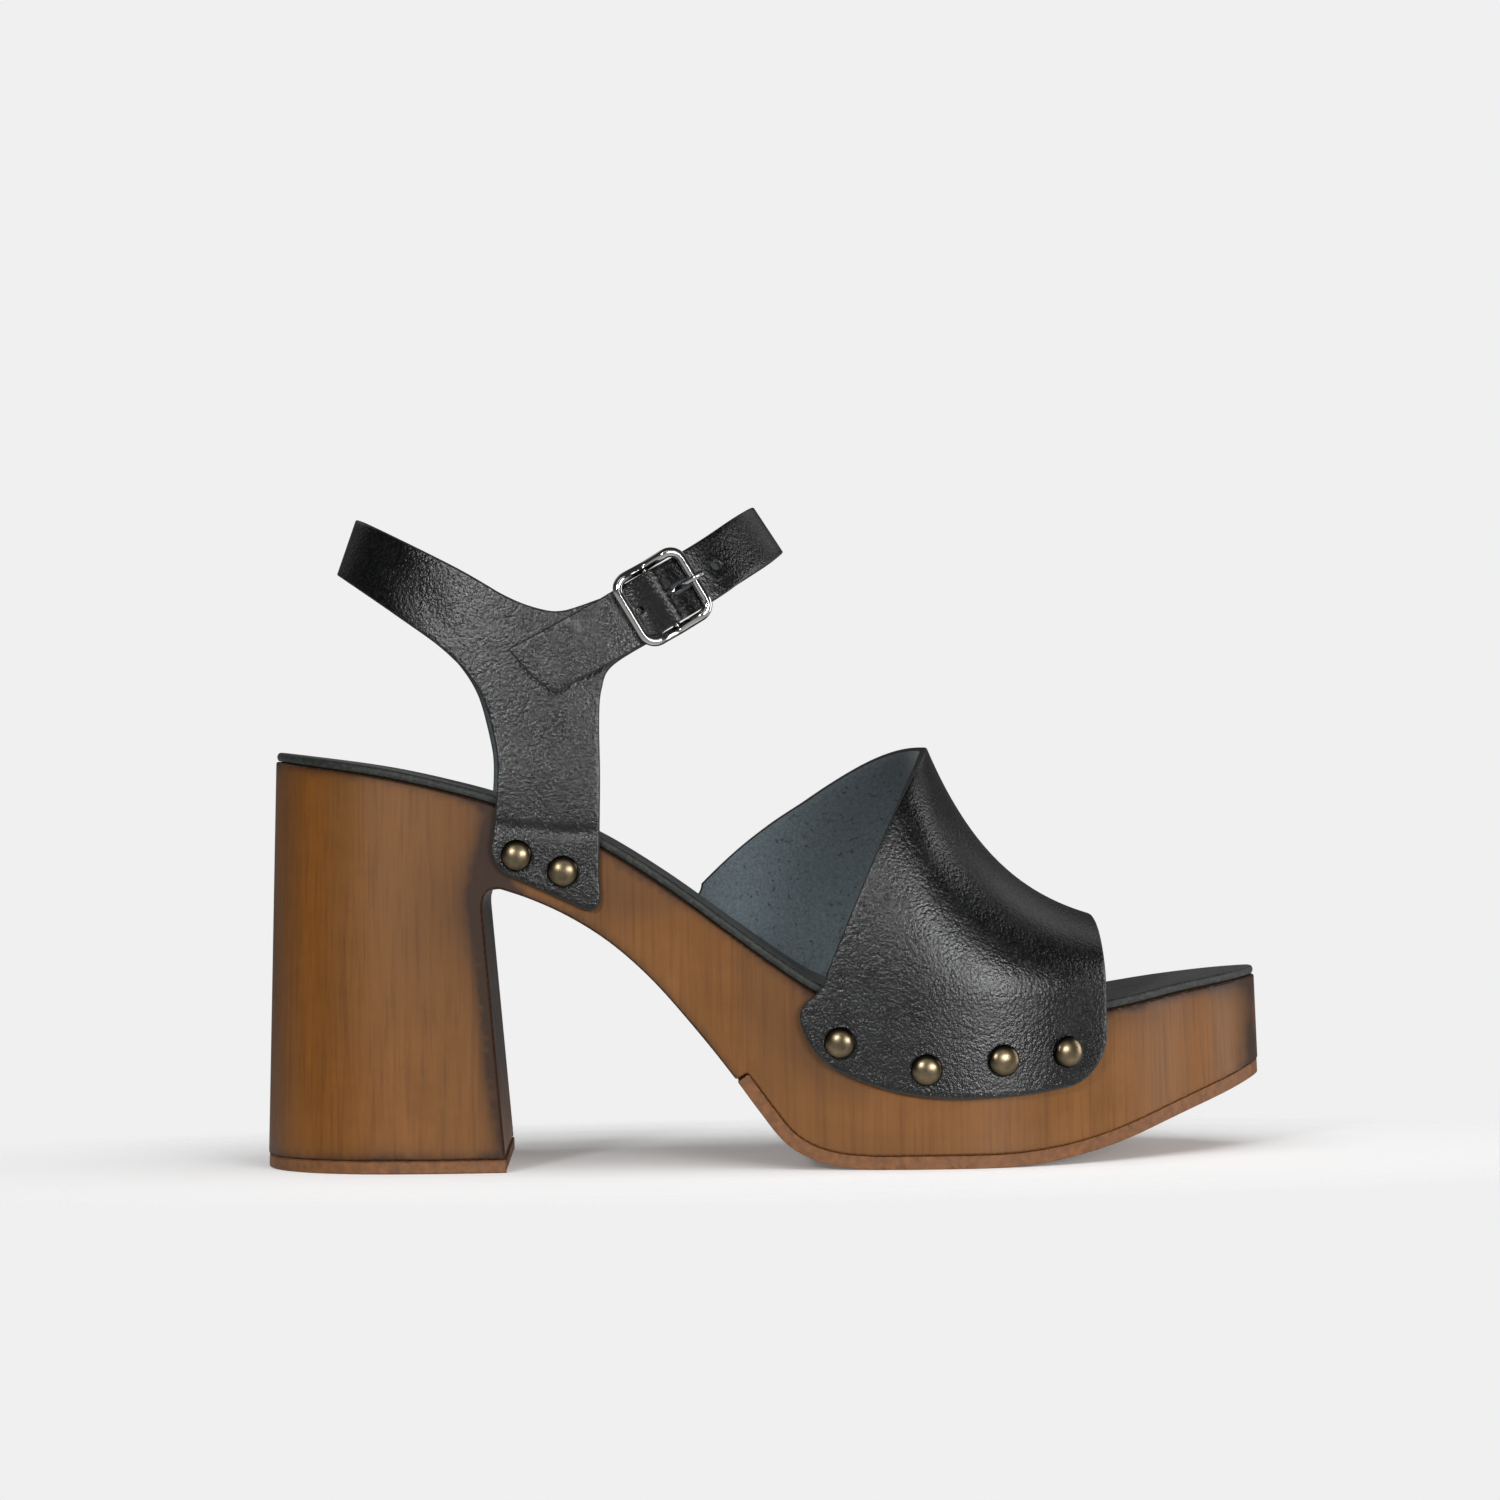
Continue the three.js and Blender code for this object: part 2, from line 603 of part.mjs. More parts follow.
const rearEdge = carriedOn(smoothEdge(QUARTER_REAR, 18), 4 * STRAP_WIDTH);
const quarterTop = smoothEdge(QUARTER_TOP, 18);
const quarterFront = smoothEdge(QUARTER_FRONT, 14);
const strapTop = carriedOn(smoothEdge(STRAP_TOP, 14), 2 * STRAP_WIDTH);
const strapLow = carriedOn(smoothEdge(STRAP_LOW, 12), 2 * STRAP_WIDTH);
const topBehind = carriedOn([...quarterTop].reverse(), 4 * STRAP_WIDTH).reverse();

// The foot of the tab, from its front corner to its rear one, both rounded.
function tabFoot() {
  const [rear, front] = TAB_FOOT.map(edgePoint);
  const in1 = front.clone().lerp(rear, TAB_CORNER / front.distanceTo(rear));
  const in2 = rear.clone().lerp(front, TAB_CORNER / front.distanceTo(rear));
  const up = (p) => flatPoint(p.x, p.y + TAB_CORNER);
  const corner = (from, at, to) => new THREE.QuadraticBezierCurve(from, at, to).getPoints(4);
  return [...corner(up(front), front, in1), ...corner(in2, rear, up(rear))];
}
const above = (points, z) => points.filter((p) => p.y > z);
const foot = tabFoot();
const frontUp = above(quarterFront, foot[0].y + 1);
const rearUp = above(rearEdge, foot[foot.length - 1].y + 1);
const loopMid = (loopEnds(LOOP_LEVEL).back + loopEnds(LOOP_LEVEL).front) / 2;
const loopReach = loopEnds(LOOP_LEVEL).front - loopMid;

function innerSide(points, rise) {
  return points.map((p) => {
    const away = clamp(1 - ((p.x - loopMid) / loopReach) ** 2, 0, 1);
    const tab = 1 - smooth(ANKLE_SEAT + 0.3 * ANKLE_RISE, ANKLE_SEAT + 0.8 * ANKLE_RISE, p.y);
    const lift = rise * away * (1 - tab);
    return flatPoint(p.x - MEDIAL_SET_BACK * tab, p.y + lift);
  });
}

// Buckle: s runs along the strap, w across it and h out of it, from the bar's middle
const BUCKLE = {
  along: 0.3895,
  rise: 0.69,
  long: 19.2,
  wide: 18.8,
  wire: 2.3,
  corner: 4.2,
  barLift: 2.3,
  endLift: 5.1,
  bar: 1.9,
};
const STRAP_TILT = 0.58; // slope of the strap under the buckle
const SLEEVE_WALL = 1.15;
const PRONG_WIRE = 1.3;
const PRONG_REACH = 9.9;
const barPoint = edgePoint(BUCKLE);

function onForm(x, z) {
  let low = 0.05;
  let high = Math.PI - 0.05;
  for (let i = 0; i < 40; i++) {
    const angle = (low + high) / 2;
    if (anklePoint(angle, z).x > x) low = angle;
    else high = angle;
  }
  return anklePoint((low + high) / 2, z);
}
const buckleOrigin = onForm(barPoint.x, barPoint.y);
const nearX = onForm(barPoint.x + 1, barPoint.y).sub(buckleOrigin);
const nearZ = onForm(barPoint.x, barPoint.y + 1).sub(buckleOrigin);
const alongStrap = nearX.clone().addScaledVector(nearZ, STRAP_TILT).normalize();
const outOfStrap = nearX.clone().cross(nearZ).normalize();
if (outOfStrap.y > 0) outOfStrap.negate();
const acrossStrap = outOfStrap.clone().cross(alongStrap).normalize();
const buckleFrame = new THREE.Matrix4()
  .makeBasis(alongStrap, acrossStrap, outOfStrap)
  .setPosition(buckleOrigin);
const placed = (geometry) => toSolid(geometry.applyMatrix4(buckleFrame));
const alongBuckle = (p) => p.clone().sub(buckleOrigin).dot(alongStrap);

const LAP = QUARTER_WALL + SEAM; // strap's inner face over the quarter
const HUMP = 3.3; // how much higher the strap passes over the bar
const HUMP_WIDTH = 3.6;
const LAP_START = 30; // how far in front of the bar the strap starts to rise
const LAP_FULL = 10;

function strapHeight(s) {
  const lap = LAP * (1 - smooth(LAP_FULL, LAP_START, s));
  return lap + HUMP * Math.exp(-((s / HUMP_WIDTH) ** 2));
}

// The loop is one spiral: it starts at the bar on the lateral side, runs round the back, the
// inner side and the front, and ends in the tail, on top of where it started.
const DEGREES = Math.PI / 180;
const SPIRAL_START = 40;
const SPIRAL_END = 482;
const SPIRAL_STEP = 8;
const HUMP_FROM = 404; // angles between which the strap lifts over the bar
const HUMP_TO = 440;
const HUMP_STEP = 2.4;
const FRONT_SEAM = 341; // angle where the strap begins
const RISES = [-25, -16, -7, 2, 11, 20, 28, 35, 41, 47, 52, 57, 62, 67, 72];
const LEVELS = RISES.map((rise) => ANKLE_SEAT + rise);
const run = (from, to, step) => steps(from, to, Math.round((to - from) / step));
const spiral = [
  ...run(SPIRAL_START, HUMP_FROM, SPIRAL_STEP),
  ...run(HUMP_FROM, HUMP_TO, HUMP_STEP).slice(1, -1),
  ...run(HUMP_TO, SPIRAL_END, SPIRAL_STEP),
];
const seamRow = spiral.findIndex((angle) => angle > FRONT_SEAM);
const baseGrid = spiral.map((angle) => LEVELS.map((z) => anklePoint(angle * DEGREES, z)));
const fromAnkle = (p) => new THREE.Vector3(p.x - loopMid, 4 * p.y, 0);
const overlaps = (r, c) => (spiral[r] < 360 ? 0 : strapHeight(alongBuckle(baseGrid[r][c])));
const innerFace = offsetGrid(baseGrid, overlaps, fromAnkle);
const outerFace = offsetGrid(
  baseGrid,
  (r, c) => {
    const thinned = smooth(FRONT_SEAM, 400, spiral[r]);
    return overlaps(r, c) + mix(QUARTER_WALL, STRAP_WALL, thinned);
  },
  fromAnkle,
);
const sheet = (from, to) => wallSolid(innerFace.slice(from, to), outerFace.slice(from, to));

const ARM_INSET = 0.5; // the arm under the strap is a little narrower than the strap
const armEnd = barPoint.clone();
const acrossArm = flatPoint(-STRAP_TILT, 1).normalize();
const armTop = armEnd.clone().addScaledVector(acrossArm, STRAP_WIDTH / 2 - ARM_INSET);
const armLow = armEnd.clone().addScaledVector(acrossArm, -STRAP_WIDTH / 2 + ARM_INSET);
const lateralQuarter = acrossShoe(
  [...foot, ...rearUp, ...topBehind, armTop, armLow, ...[...frontUp].reverse()],
  -BLOCK_HALF,
  0,
);
const aheadOf = (points, p) => points.filter((q) => q.x > p.x);
const wholeTop = [...topBehind, ...aheadOf(strapTop, topBehind.at(-1))];
const wholeFront = [...frontUp, ...aheadOf(strapLow, frontUp.at(-1))];
const medialQuarter = acrossShoe(
  [
    ...innerSide([...foot, ...rearUp], MEDIAL_LIFT.low),
    ...innerSide(wholeTop, MEDIAL_LIFT.top),
    ...innerSide(wholeFront, MEDIAL_LIFT.low).reverse(),
  ],
  0,
  BLOCK_HALF,
);
const TAIL_BULGE = 0.8; // how far the tail's end bows out
const tailTop = strapTop[0];
const tailLow = strapLow[0];
const tailMid = tailTop.clone().add(tailLow).multiplyScalar(0.5);
const tailOut = tailLow.clone().sub(tailTop).normalize();
const tailEnd = tailMid.add(flatPoint(tailOut.y, -tailOut.x).multiplyScalar(TAIL_BULGE));
const lateralStrap = acrossShoe([tailEnd, ...strapTop, ...[...strapLow].reverse()], -BLOCK_HALF, 0);

const quarterSheet = sheet(0, seamRow + 2);
const strapSheet = sheet(seamRow, spiral.length);
const quarters = quarterSheet.intersect(lateralQuarter.add(medialQuarter));
const strapPart = strapSheet.intersect(lateralStrap.add(medialQuarter));

// The sleeve at the arm's end, the buckle and its prong
const ROUND = 20;
const barRadius = BUCKLE.bar / 2;
const wireRadius = BUCKLE.wire / 2;
const railAt = BUCKLE.wide / 2 - wireRadius;
const endAt = BUCKLE.long / 2 - wireRadius;

// A round rod across the strap, at a height over the form.
function rodAcross(radius, length, height) {
  const rod = new THREE.CylinderGeometry(radius, radius, length, ROUND);
  return placed(rod.translate(0, 0, height));
}
function boxAt(long, wide, high, s, h) {
  return placed(new THREE.BoxGeometry(long, wide, high).translate(s, 0, h));
}

const boreRadius = barRadius + SEAM;
const sleeveRadius = boreRadius + SLEEVE_WALL;
const armWidth = STRAP_WIDTH - 2 * ARM_INSET;
const PRONG_SLOT = PRONG_WIRE + 2 * SEAM + 0.6;
const bore = rodAcross(boreRadius, BUCKLE.wide, BUCKLE.barLift);
const slotLength = 2 * (sleeveRadius + 2);
const slot = boxAt(slotLength, PRONG_SLOT, slotLength, 0.6, BUCKLE.barLift + 1);
const sleeve = rodAcross(sleeveRadius, armWidth, BUCKLE.barLift);
const arms = quarters.add(sleeve).subtract(bore).subtract(slot);

// A closed loop of round wire through a run of points that bow out of the s-w plane.
function wireLoop(points, radius, sides) {
  const count = points.length;
  const up = new THREE.Vector3(0, 0, 1);
  const rings = points.map((p, i) => {
    const ahead = points[(i + 1) % count].clone().sub(points[(i + count - 1) % count]).normalize();
    const outward = ahead.clone().cross(up).normalize();
    const over = outward.clone().cross(ahead).normalize();
    return steps(0, 2 * Math.PI, sides)
      .slice(0, sides)
      .map((turn) =>
        p
          .clone()
          .addScaledVector(outward, radius * Math.cos(turn))
          .addScaledVector(over, radius * Math.sin(turn)),
      );
  });
  const faces = [];
  const at = (r, c) => (r % count) * sides + (c % sides);
  for (let r = 0; r < count; r++) {
    for (let c = 0; c < sides; c++) {
      faces.push(at(r, c), at(r + 1, c), at(r + 1, c + 1));
      faces.push(at(r, c), at(r + 1, c + 1), at(r, c + 1));
    }
  }
  const geometry = new THREE.BufferGeometry().setFromPoints(rings.flat());
  geometry.setIndex(faces);
  const loop = placed(geometry.clone());
  if (loop.volume() > 0) return loop;
  geometry.setIndex(faces.reverse());
  return placed(geometry);
}

const FRAME_SIDE_STEPS = 6;
const FRAME_CORNER_STEPS = 5;
const FRAME_DIP = 0.72; // share of the half length over which the rails dip to the bar
function framePoints() {
  const r = BUCKLE.corner - wireRadius;
  const points = [];
  const corners = [
    { s: 1, w: 1, start: 0 },
    { s: -1, w: 1, start: 90 },
    { s: -1, w: -1, start: 180 },
    { s: 1, w: -1, start: 270 },
  ];
  corners.forEach((corner, i) => {
    const next = corners[(i + 1) % corners.length];
    const centre = (c) => new THREE.Vector3(c.s * (endAt - r), c.w * (railAt - r), 0);
    const swing = (c, degrees) => {
      const turn = degrees * DEGREES;
      return centre(c).add(new THREE.Vector3(r * Math.cos(turn), r * Math.sin(turn), 0));
    };
    const turns = steps(corner.start, corner.start + 90, FRAME_CORNER_STEPS);
    const arc = turns.map((degrees) => swing(corner, degrees));
    const from = arc[arc.length - 1];
    const to = swing(next, next.start);
    const between = steps(0, 1, FRAME_SIDE_STEPS).slice(1, -1);
    points.push(...arc, ...between.map((t) => from.clone().lerp(to, t)));
  });
  return points.map((p) => {
    const bow = smooth(0, FRAME_DIP * endAt, Math.abs(p.x));
    return p.setZ(mix(BUCKLE.barLift, BUCKLE.endLift, bow));
  });
}
const frameRing = wireLoop(framePoints(), wireRadius, 8);
const frame = frameRing.add(rodAcross(barRadius, 2 * railAt, BUCKLE.barLift));

// The prong: an eye round the bar, then straight through the strap and over the end bar.
const prongRadius = PRONG_WIRE / 2;
const eyeRadius = barRadius + SEAM + prongRadius;
const EYE_OPEN = 50; // where the eye's wire starts, in degrees below the bar's front
const eyePoint = (turn) =>
  new THREE.Vector3(
    eyeRadius * Math.cos(turn * DEGREES),
    0,
    BUCKLE.barLift + eyeRadius * Math.sin(turn * DEGREES),
  );
const overEnd = BUCKLE.endLift + wireRadius + 2 * SEAM + prongRadius;
const prongPath = new THREE.CatmullRomCurve3([
  ...steps(360 - EYE_OPEN, 40, 9).map(eyePoint),
  new THREE.Vector3(endAt * 0.45, 0, BUCKLE.barLift + 0.9),
  new THREE.Vector3(endAt * 0.76, 0, BUCKLE.endLift + 1.2),
  new THREE.Vector3(endAt, 0, overEnd),
  new THREE.Vector3(PRONG_REACH, 0, overEnd - 0.1),
]);
const prongSection = new THREE.Shape().absarc(0, 0, prongRadius, 0, 2 * Math.PI);
const prong = placed(
  new THREE.ExtrudeGeometry(prongSection, {
    steps: 20,
    curveSegments: 4,
    bevelEnabled: false,
    extrudePath: prongPath,
  }),
);
const HOLE_FROM = 2.4;
const HOLE_TO = 7.6;
const punched = boxAt(
  HOLE_TO - HOLE_FROM,
  PRONG_SLOT,
  10,
  (HOLE_FROM + HOLE_TO) / 2,
  BUCKLE.barLift + 2,
);
const ankleStrap = arms.add(strapPart.subtract(punched));

// Nails: along is a share of LENGTH, drop is how far below the footbed
const VAMP_NAILS = [
  { name: "vamp_nail_lateral_1", side: -1, along: 0.5616, drop: 10.9 },
  { name: "vamp_nail_lateral_2", side: -1, along: 0.644, drop: 12.6 },
  { name: "vamp_nail_lateral_3", side: -1, along: 0.7166, drop: 10.4 },
  { name: "vamp_nail_lateral_4", side: -1, along: 0.7788, drop: 9.6 },
  { name: "vamp_nail_medial_1", side: 1, along: 0.472, drop: 10.5 },
  { name: "vamp_nail_medial_2", side: 1, along: 0.556, drop: 12.5 },
  { name: "vamp_nail_medial_3", side: 1, along: 0.64, drop: 12.5 },
  { name: "vamp_nail_medial_4", side: 1, along: 0.718, drop: 11.5 },
  { name: "vamp_nail_medial_5", side: 1, along: 0.782, drop: 10 },
];
const QUARTER_NAILS = [
  { name: "quarter_nail_lateral_1", side: -1, along: 0.2455, drop: 12 },
  { name: "quarter_nail_lateral_2", side: -1, along: 0.2911, drop: 11.6 },
  { name: "quarter_nail_medial_1", side: 1, along: 0.2325, drop: 12 },
  { name: "quarter_nail_medial_2", side: 1, along: 0.2755, drop: 11.6 },
];
const NAIL_SIDES = 12;

// Puts a solid that stands on the X-Z plane, along +Y, on the platform's wall.
function onWallAt(geometry, nail, out) {
  const x = atShare(nail.along);
  const z = footbedZ(x) - nail.drop;
  const slopeX = wallY(nail.side, x + 2, z) - wallY(nail.side, x - 2, z);
  const slopeZ = wallY(nail.side, x, z + 2) - wallY(nail.side, x, z - 2);
  const outward = new THREE.Vector3(-slopeX / 4, 1, -slopeZ / 4).multiplyScalar(nail.side);
  const turn = new THREE.Quaternion().setFromUnitVectors(
    new THREE.Vector3(0, 1, 0),
    outward.normalize(),
  );
  geometry.applyQuaternion(turn);
  const foot = new THREE.Vector3(x, wallY(nail.side, x, z), z).addScaledVector(outward, out);
  return toSolid(geometry.translate(foot.x, foot.y, foot.z));
}

function nailSolid(nail, wall) {
  const radius = NAIL_HEAD / 2;
  const dome = steps(0, Math.PI / 2, 3).map((turn) =>
    flatPoint(radius * Math.cos(turn), 0.5 + (NAIL_DOME - 0.5) * Math.sin(turn)),
  );
  dome[dome.length - 1].x = 0;
  const profile = [
    flatPoint(0, -NAIL_LENGTH),
    flatPoint(NAIL_SHANK / 2, -NAIL_LENGTH + NAIL_SHANK),
    flatPoint(NAIL_SHANK / 2, 0),
    flatPoint(radius, 0),
    ...dome,
  ];
  return onWallAt(new THREE.LatheGeometry(profile, NAIL_SIDES), nail, wall + SNUG + SEAM);
}
function nailHole(nail) {
  const radius = NAIL_SHANK / 2 + SEAM;
  return onWallAt(new THREE.CylinderGeometry(radius, radius, 2 * NAIL_LENGTH, 6), nail, 0);
}
const pierce = (solid, nails) => nails.reduce((left, nail) => left.subtract(nailHole(nail)), solid);

const LEATHER = "#1c1c1e";
const WOOD = "#8a5a34";
const RUBBER = "#33251c";
const STEEL = "#c9cacc";
const BRASS = "#8f7a52";
const sandal = new THREE.Group();
sandal.name = "clog_sandal";

function add(name, solid, color, metalness, roughness) {
  const material = new THREE.MeshStandardMaterial({ color, metalness, roughness });
  const mesh = new THREE.Mesh(toGeometry(solid), material);
  mesh.name = name;
  sandal.add(mesh);
}
add("clog_base", pierce(platform, [...VAMP_NAILS, ...QUARTER_NAILS]), WOOD, 0, 0.6);
add("outsole", outsole, RUBBER, 0, 0.8);
add("heel_top_piece", topPiece, RUBBER, 0, 0.8);
add("insole", insole, LEATHER, 0, 0.6);
add("vamp", pierce(vampWall, VAMP_NAILS), LEATHER, 0, 0.5);
add("ankle_strap", pierce(ankleStrap, QUARTER_NAILS), LEATHER, 0, 0.5);
add("buckle_frame", frame, STEEL, 1, 0.2);
add("buckle_prong", prong, STEEL, 1, 0.2);
for (const nail of VAMP_NAILS) add(nail.name, nailSolid(nail, VAMP_WALL), BRASS, 1, 0.35);
for (const nail of QUARTER_NAILS) add(nail.name, nailSolid(nail, QUARTER_WALL), BRASS, 1, 0.35);

export default sandal;
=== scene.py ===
"""A right platform clog sandal, as one object made of a wood base, a nailed vamp and an
ankle strap. Forms are worked out in millimetres and meshes are made in metres, in the
frame's own axes: +X to the toe, +Y to the inner side, +Z up."""

import math

import bpy
import bmesh
import numpy as np
from mathutils import Matrix, Vector
from mathutils.geometry import delaunay_2d_cdt
from mathutils.kdtree import KDTree


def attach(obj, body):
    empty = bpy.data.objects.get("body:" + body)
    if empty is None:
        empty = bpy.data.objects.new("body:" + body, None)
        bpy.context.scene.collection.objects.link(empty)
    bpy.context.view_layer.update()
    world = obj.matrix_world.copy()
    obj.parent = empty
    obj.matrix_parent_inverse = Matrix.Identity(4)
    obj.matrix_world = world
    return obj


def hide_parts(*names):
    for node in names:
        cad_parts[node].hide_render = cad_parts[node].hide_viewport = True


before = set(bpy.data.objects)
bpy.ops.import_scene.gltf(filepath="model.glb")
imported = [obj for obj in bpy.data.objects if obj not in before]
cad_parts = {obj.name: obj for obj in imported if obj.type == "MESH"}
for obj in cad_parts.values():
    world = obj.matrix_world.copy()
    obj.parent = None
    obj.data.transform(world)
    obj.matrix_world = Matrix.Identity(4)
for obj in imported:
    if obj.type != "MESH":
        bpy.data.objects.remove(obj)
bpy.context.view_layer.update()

bl_info = {
    "name": "Clog sandal",
    "version": (1, 0, 0),
    "blender": (4, 5, 0),
    "location": "View3D > Sidebar > Sandal",
    "description": "Makes a platform clog sandal with a nailed vamp and a buckled ankle strap",
    "category": "Object",
}

MM = 0.001
LATERAL = -1
MEDIAL = 1


def linear(hex_colour):
    """An sRGB hex colour as linear RGB with full alpha."""
    channels = [int(hex_colour[i:i + 2], 16) / 255 for i in (1, 3, 5)]
    return tuple(
        c / 12.92 if c <= 0.04045 else ((c + 0.055) / 1.055) ** 2.4 for c in channels
    ) + (1.0,)


# Settings


def length_setting(name, description, millimetres):
    return bpy.props.FloatProperty(
        name=name, description=description, default=millimetres * MM, unit="LENGTH", precision=5
    )


def colour_setting(name, description, hex_colour):
    return bpy.props.FloatVectorProperty(
        name=name, description=description, default=linear(hex_colour),
        size=4, subtype="COLOR", min=0.0, max=1.0,
    )


class SandalSizes(bpy.types.PropertyGroup):
    length: length_setting("Length", "Footbed from the heel seat's back to the toe", 231.4)
    ball_width: length_setting("Ball width", "Platform at its widest", 84)
    heel_height: length_setting("Heel height", "Floor to the footbed at the heel", 96)
    platform: length_setting("Platform", "Floor to the footbed under the ball", 35)
    edge_round: length_setting("Edge rounding", "Radius of the wood's sanded edges", 0.5)
    vamp_wall: length_setting("Vamp leather", "Thickness of the vamp", 2)
    quarter_wall: length_setting("Quarter leather", "Thickness of the ankle strap's quarters", 1.8)
    strap_wall: length_setting("Strap leather", "Thickness of the buckled strap", 1.6)
    nail_head: length_setting("Nail head", "Diameter of a nail's dome", 7.3)
    wire: length_setting("Buckle wire", "Diameter of the buckle's wire", 2.3)


class SandalColours(bpy.types.PropertyGroup):
    wood: colour_setting("Wood", "Stained wood", "#835629")
    # Wood, light: the more golden tone painted at the gold spots
    wood_gold: colour_setting("Wood, light", "Where the stain is thinner", "#865219")
    wood_dark: colour_setting("Wood grain", "Darker grain of the stained wood", "#5c371b")
    # Wood edge: the dark of the burnished edges and spots, and of the painted shade round the
    # toe's end
    wood_burnt_and_shade: colour_setting("Wood edge", "Burnished places of the wood", "#2a1a12")
    leather: colour_setting("Leather", "Black leather of the upper", "#0f1110")
    flesh: colour_setting("Flesh side", "Suede back of the leather", "#7c8a90")
    cut_edge: colour_setting("Cut edge", "Raw edge of the leather", "#3a3c3a")
    footbed: colour_setting("Footbed", "Leather that covers the footbed", "#2b2f2b")
    tread: colour_setting("Tread", "Brown rubber of the tread", "#7e5028")
    brass: colour_setting("Nails", "Antique brass", "#85775f")
    steel: colour_setting("Buckle", "Polished nickel", "#c9c9c7")
    floor: colour_setting("Floor", "Studio floor", "#ececec")


def sizes():
    return bpy.context.scene.sandal_sizes


def colours():
    return bpy.context.scene.sandal_colours


# Tables of the form

HEEL_BACK = -25.0
TOE_LIFT = 8.0
SHANK = 21.0
HEEL_FLARE = 3.2
TOE_DRAFT = 1.3
HEEL_DEPTH = 28.4
BREAST_LEAN = 5.0
BREAST_FILLET = 3.0
ROCKER = 110.0
TOE_SLOPE = 0.36
TREAD = 2.8
TOP_PIECE = 2.8
INSOLE = 1.8
SEAM = 0.3
SNUG = 0.45
TOE_TIP_SHIFT = 0.131
FLAT_END = 0.7046
TREAD_START = 0.4582
# Shares of the length over which the heel's flare fades and the toe's draft comes in
FLARE_FADE, DRAFT_START = (0.12, 0.42), (0.78, 0.95)
# Places in x where the side view's curves are worked out, and the step of fine outlines
PROFILE_XS = np.arange(-45, 230, 0.25)
STEP = 0.6

# Plan outline: share of the length, then half widths as shares of the ball width
PLAN = [
    (0.0109, 0.137, 0.137), (0.0386, 0.238, 0.238), (0.0861, 0.313, 0.313),
    (0.1514, 0.345, 0.345), (0.2286, 0.357, 0.355), (0.3157, 0.367, 0.348),
    (0.4107, 0.396, 0.355), (0.5057, 0.44, 0.393), (0.5839, 0.476, 0.443),
    (0.6482, 0.494, 0.483), (0.7046, 0.488, 0.505), (0.7561, 0.452, 0.51),
    (0.8085, 0.386, 0.5), (0.86, 0.298, 0.468), (0.9075, 0.196, 0.408),
    (0.956, 0.095, 0.327), (0.983, 0.0, 0.244), (0.9965, -0.077, 0.179),
]
# Footbed: share of the length, climb of the heel's extra height, lift of the toe's
FOOTBED = [
    (0, 1.01, 0), (0.1079, 0.948, 0), (0.1811, 0.884, 0), (0.2286, 0.831, 0),
    (0.2811, 0.757, 0), (0.3325, 0.666, 0), (0.3959, 0.512, 0), (0.4641, 0.32, 0),
    (0.5037, 0.21, 0), (0.5423, 0.115, 0), (0.5918, 0.043, 0), (0.6482, 0.005, 0),
    (0.7125, 0, 0), (0.7778, 0, 0.08), (0.8422, 0, 0.31), (0.9114, 0, 0.65), (1, 0, 1),
]
# Underside of the waist: share of the length, share of its height at the heel
UNDERSIDE = [
    (0.2157, 1), (0.2583, 0.948), (0.2969, 0.883), (0.3365, 0.791), (0.3751, 0.668),
    (0.4137, 0.512), (0.4523, 0.34), (0.48, 0.205), (0.5037, 0.1), (0.5285, 0.042),
    (0.5572, 0.012), (0.5918, 0),
]


def smoothstep(low, high, value):
    t = np.clip((value - low) / (high - low), 0, 1)
    return t * t * (3 - 2 * t)


def mix(a, b, t):
    return a + (b - a) * t


def on_step(start, rise, m0, m1, t):
    """The value at share t of a step that rises from start, with slopes m0 and m1 at its ends."""
    return start + t * (m0 + t * (3 * rise - 2 * m0 - m1 + t * (m0 + m1 - 2 * rise)))


def bend(a, b, c, t):
    """Points at shares t of a curve from a to c that leans towards b."""
    return a * (1 - t) ** 2 + b * 2 * t * (1 - t) + c * t ** 2


def unit_rows(rows):
    return rows / np.maximum(np.linalg.norm(rows, axis=1), 1e-9)[:, None]


def way_round(run):
    """The way a closed run goes at each of its points, as long as two steps."""
    return np.roll(run, -1, axis=0) - np.roll(run, 1, axis=0)


def lengths_along(run):
    steps = np.linalg.norm(np.diff(run, axis=0), axis=1)
    return np.concatenate([[0], np.cumsum(steps)])


def read_table(rows, column, share):
    """A smooth curve through one column of a table, read at a share of the length."""
    last = len(rows) - 1
    if share <= rows[0][0]:
        return rows[0][column]
    if share >= rows[last][0]:
        return rows[last][column]
    i = next(k for k, row in enumerate(rows) if row[0] > share) - 1

    def slope(k):
        a, b = rows[max(0, k - 1)], rows[min(last, k + 1)]
        return (b[column] - a[column]) / (b[0] - a[0])

    span = rows[i + 1][0] - rows[i][0]
    t = (share - rows[i][0]) / span
    rise = rows[i + 1][column] - rows[i][column]
    m0, m1 = slope(i) * span, slope(i + 1) * span
    return on_step(rows[i][column], rise, m0, m1, t)


def spline(points, count, closed=False):
    """A smooth curve through points, as count + 1 points. Short steps take less of its time,
    so it makes no loop where points lie close together."""
    points = [np.asarray(p, float) for p in points]
    n = len(points)
    spans = n if closed else n - 1
    out = []
    for step in range(count + 1):
        place = min(step / count * spans, spans - 1e-9)
        i, t = int(place), place - int(place)
        if closed:
            p0, p1, p2, p3 = (points[(i + k) % n] for k in (-1, 0, 1, 2))
        else:
            p1, p2 = points[i], points[i + 1]
            p0 = points[i - 1] if i else 2 * p1 - p2
            p3 = points[i + 2] if i + 2 < n else 2 * p2 - p1
        steps = ((p0, p1), (p1, p2), (p2, p3))
        d0, d1, d2 = (max(np.linalg.norm(b - a) ** 0.5, 1e-4) for a, b in steps)
        m1 = ((p1 - p0) / d0 - (p2 - p0) / (d0 + d1) + (p2 - p1) / d1) * d1
        m2 = ((p2 - p1) / d1 - (p3 - p1) / (d1 + d2) + (p3 - p2) / d2) * d1
        out.append(on_step(p1, p2 - p1, m1, m2, t))
    return np.array(out)


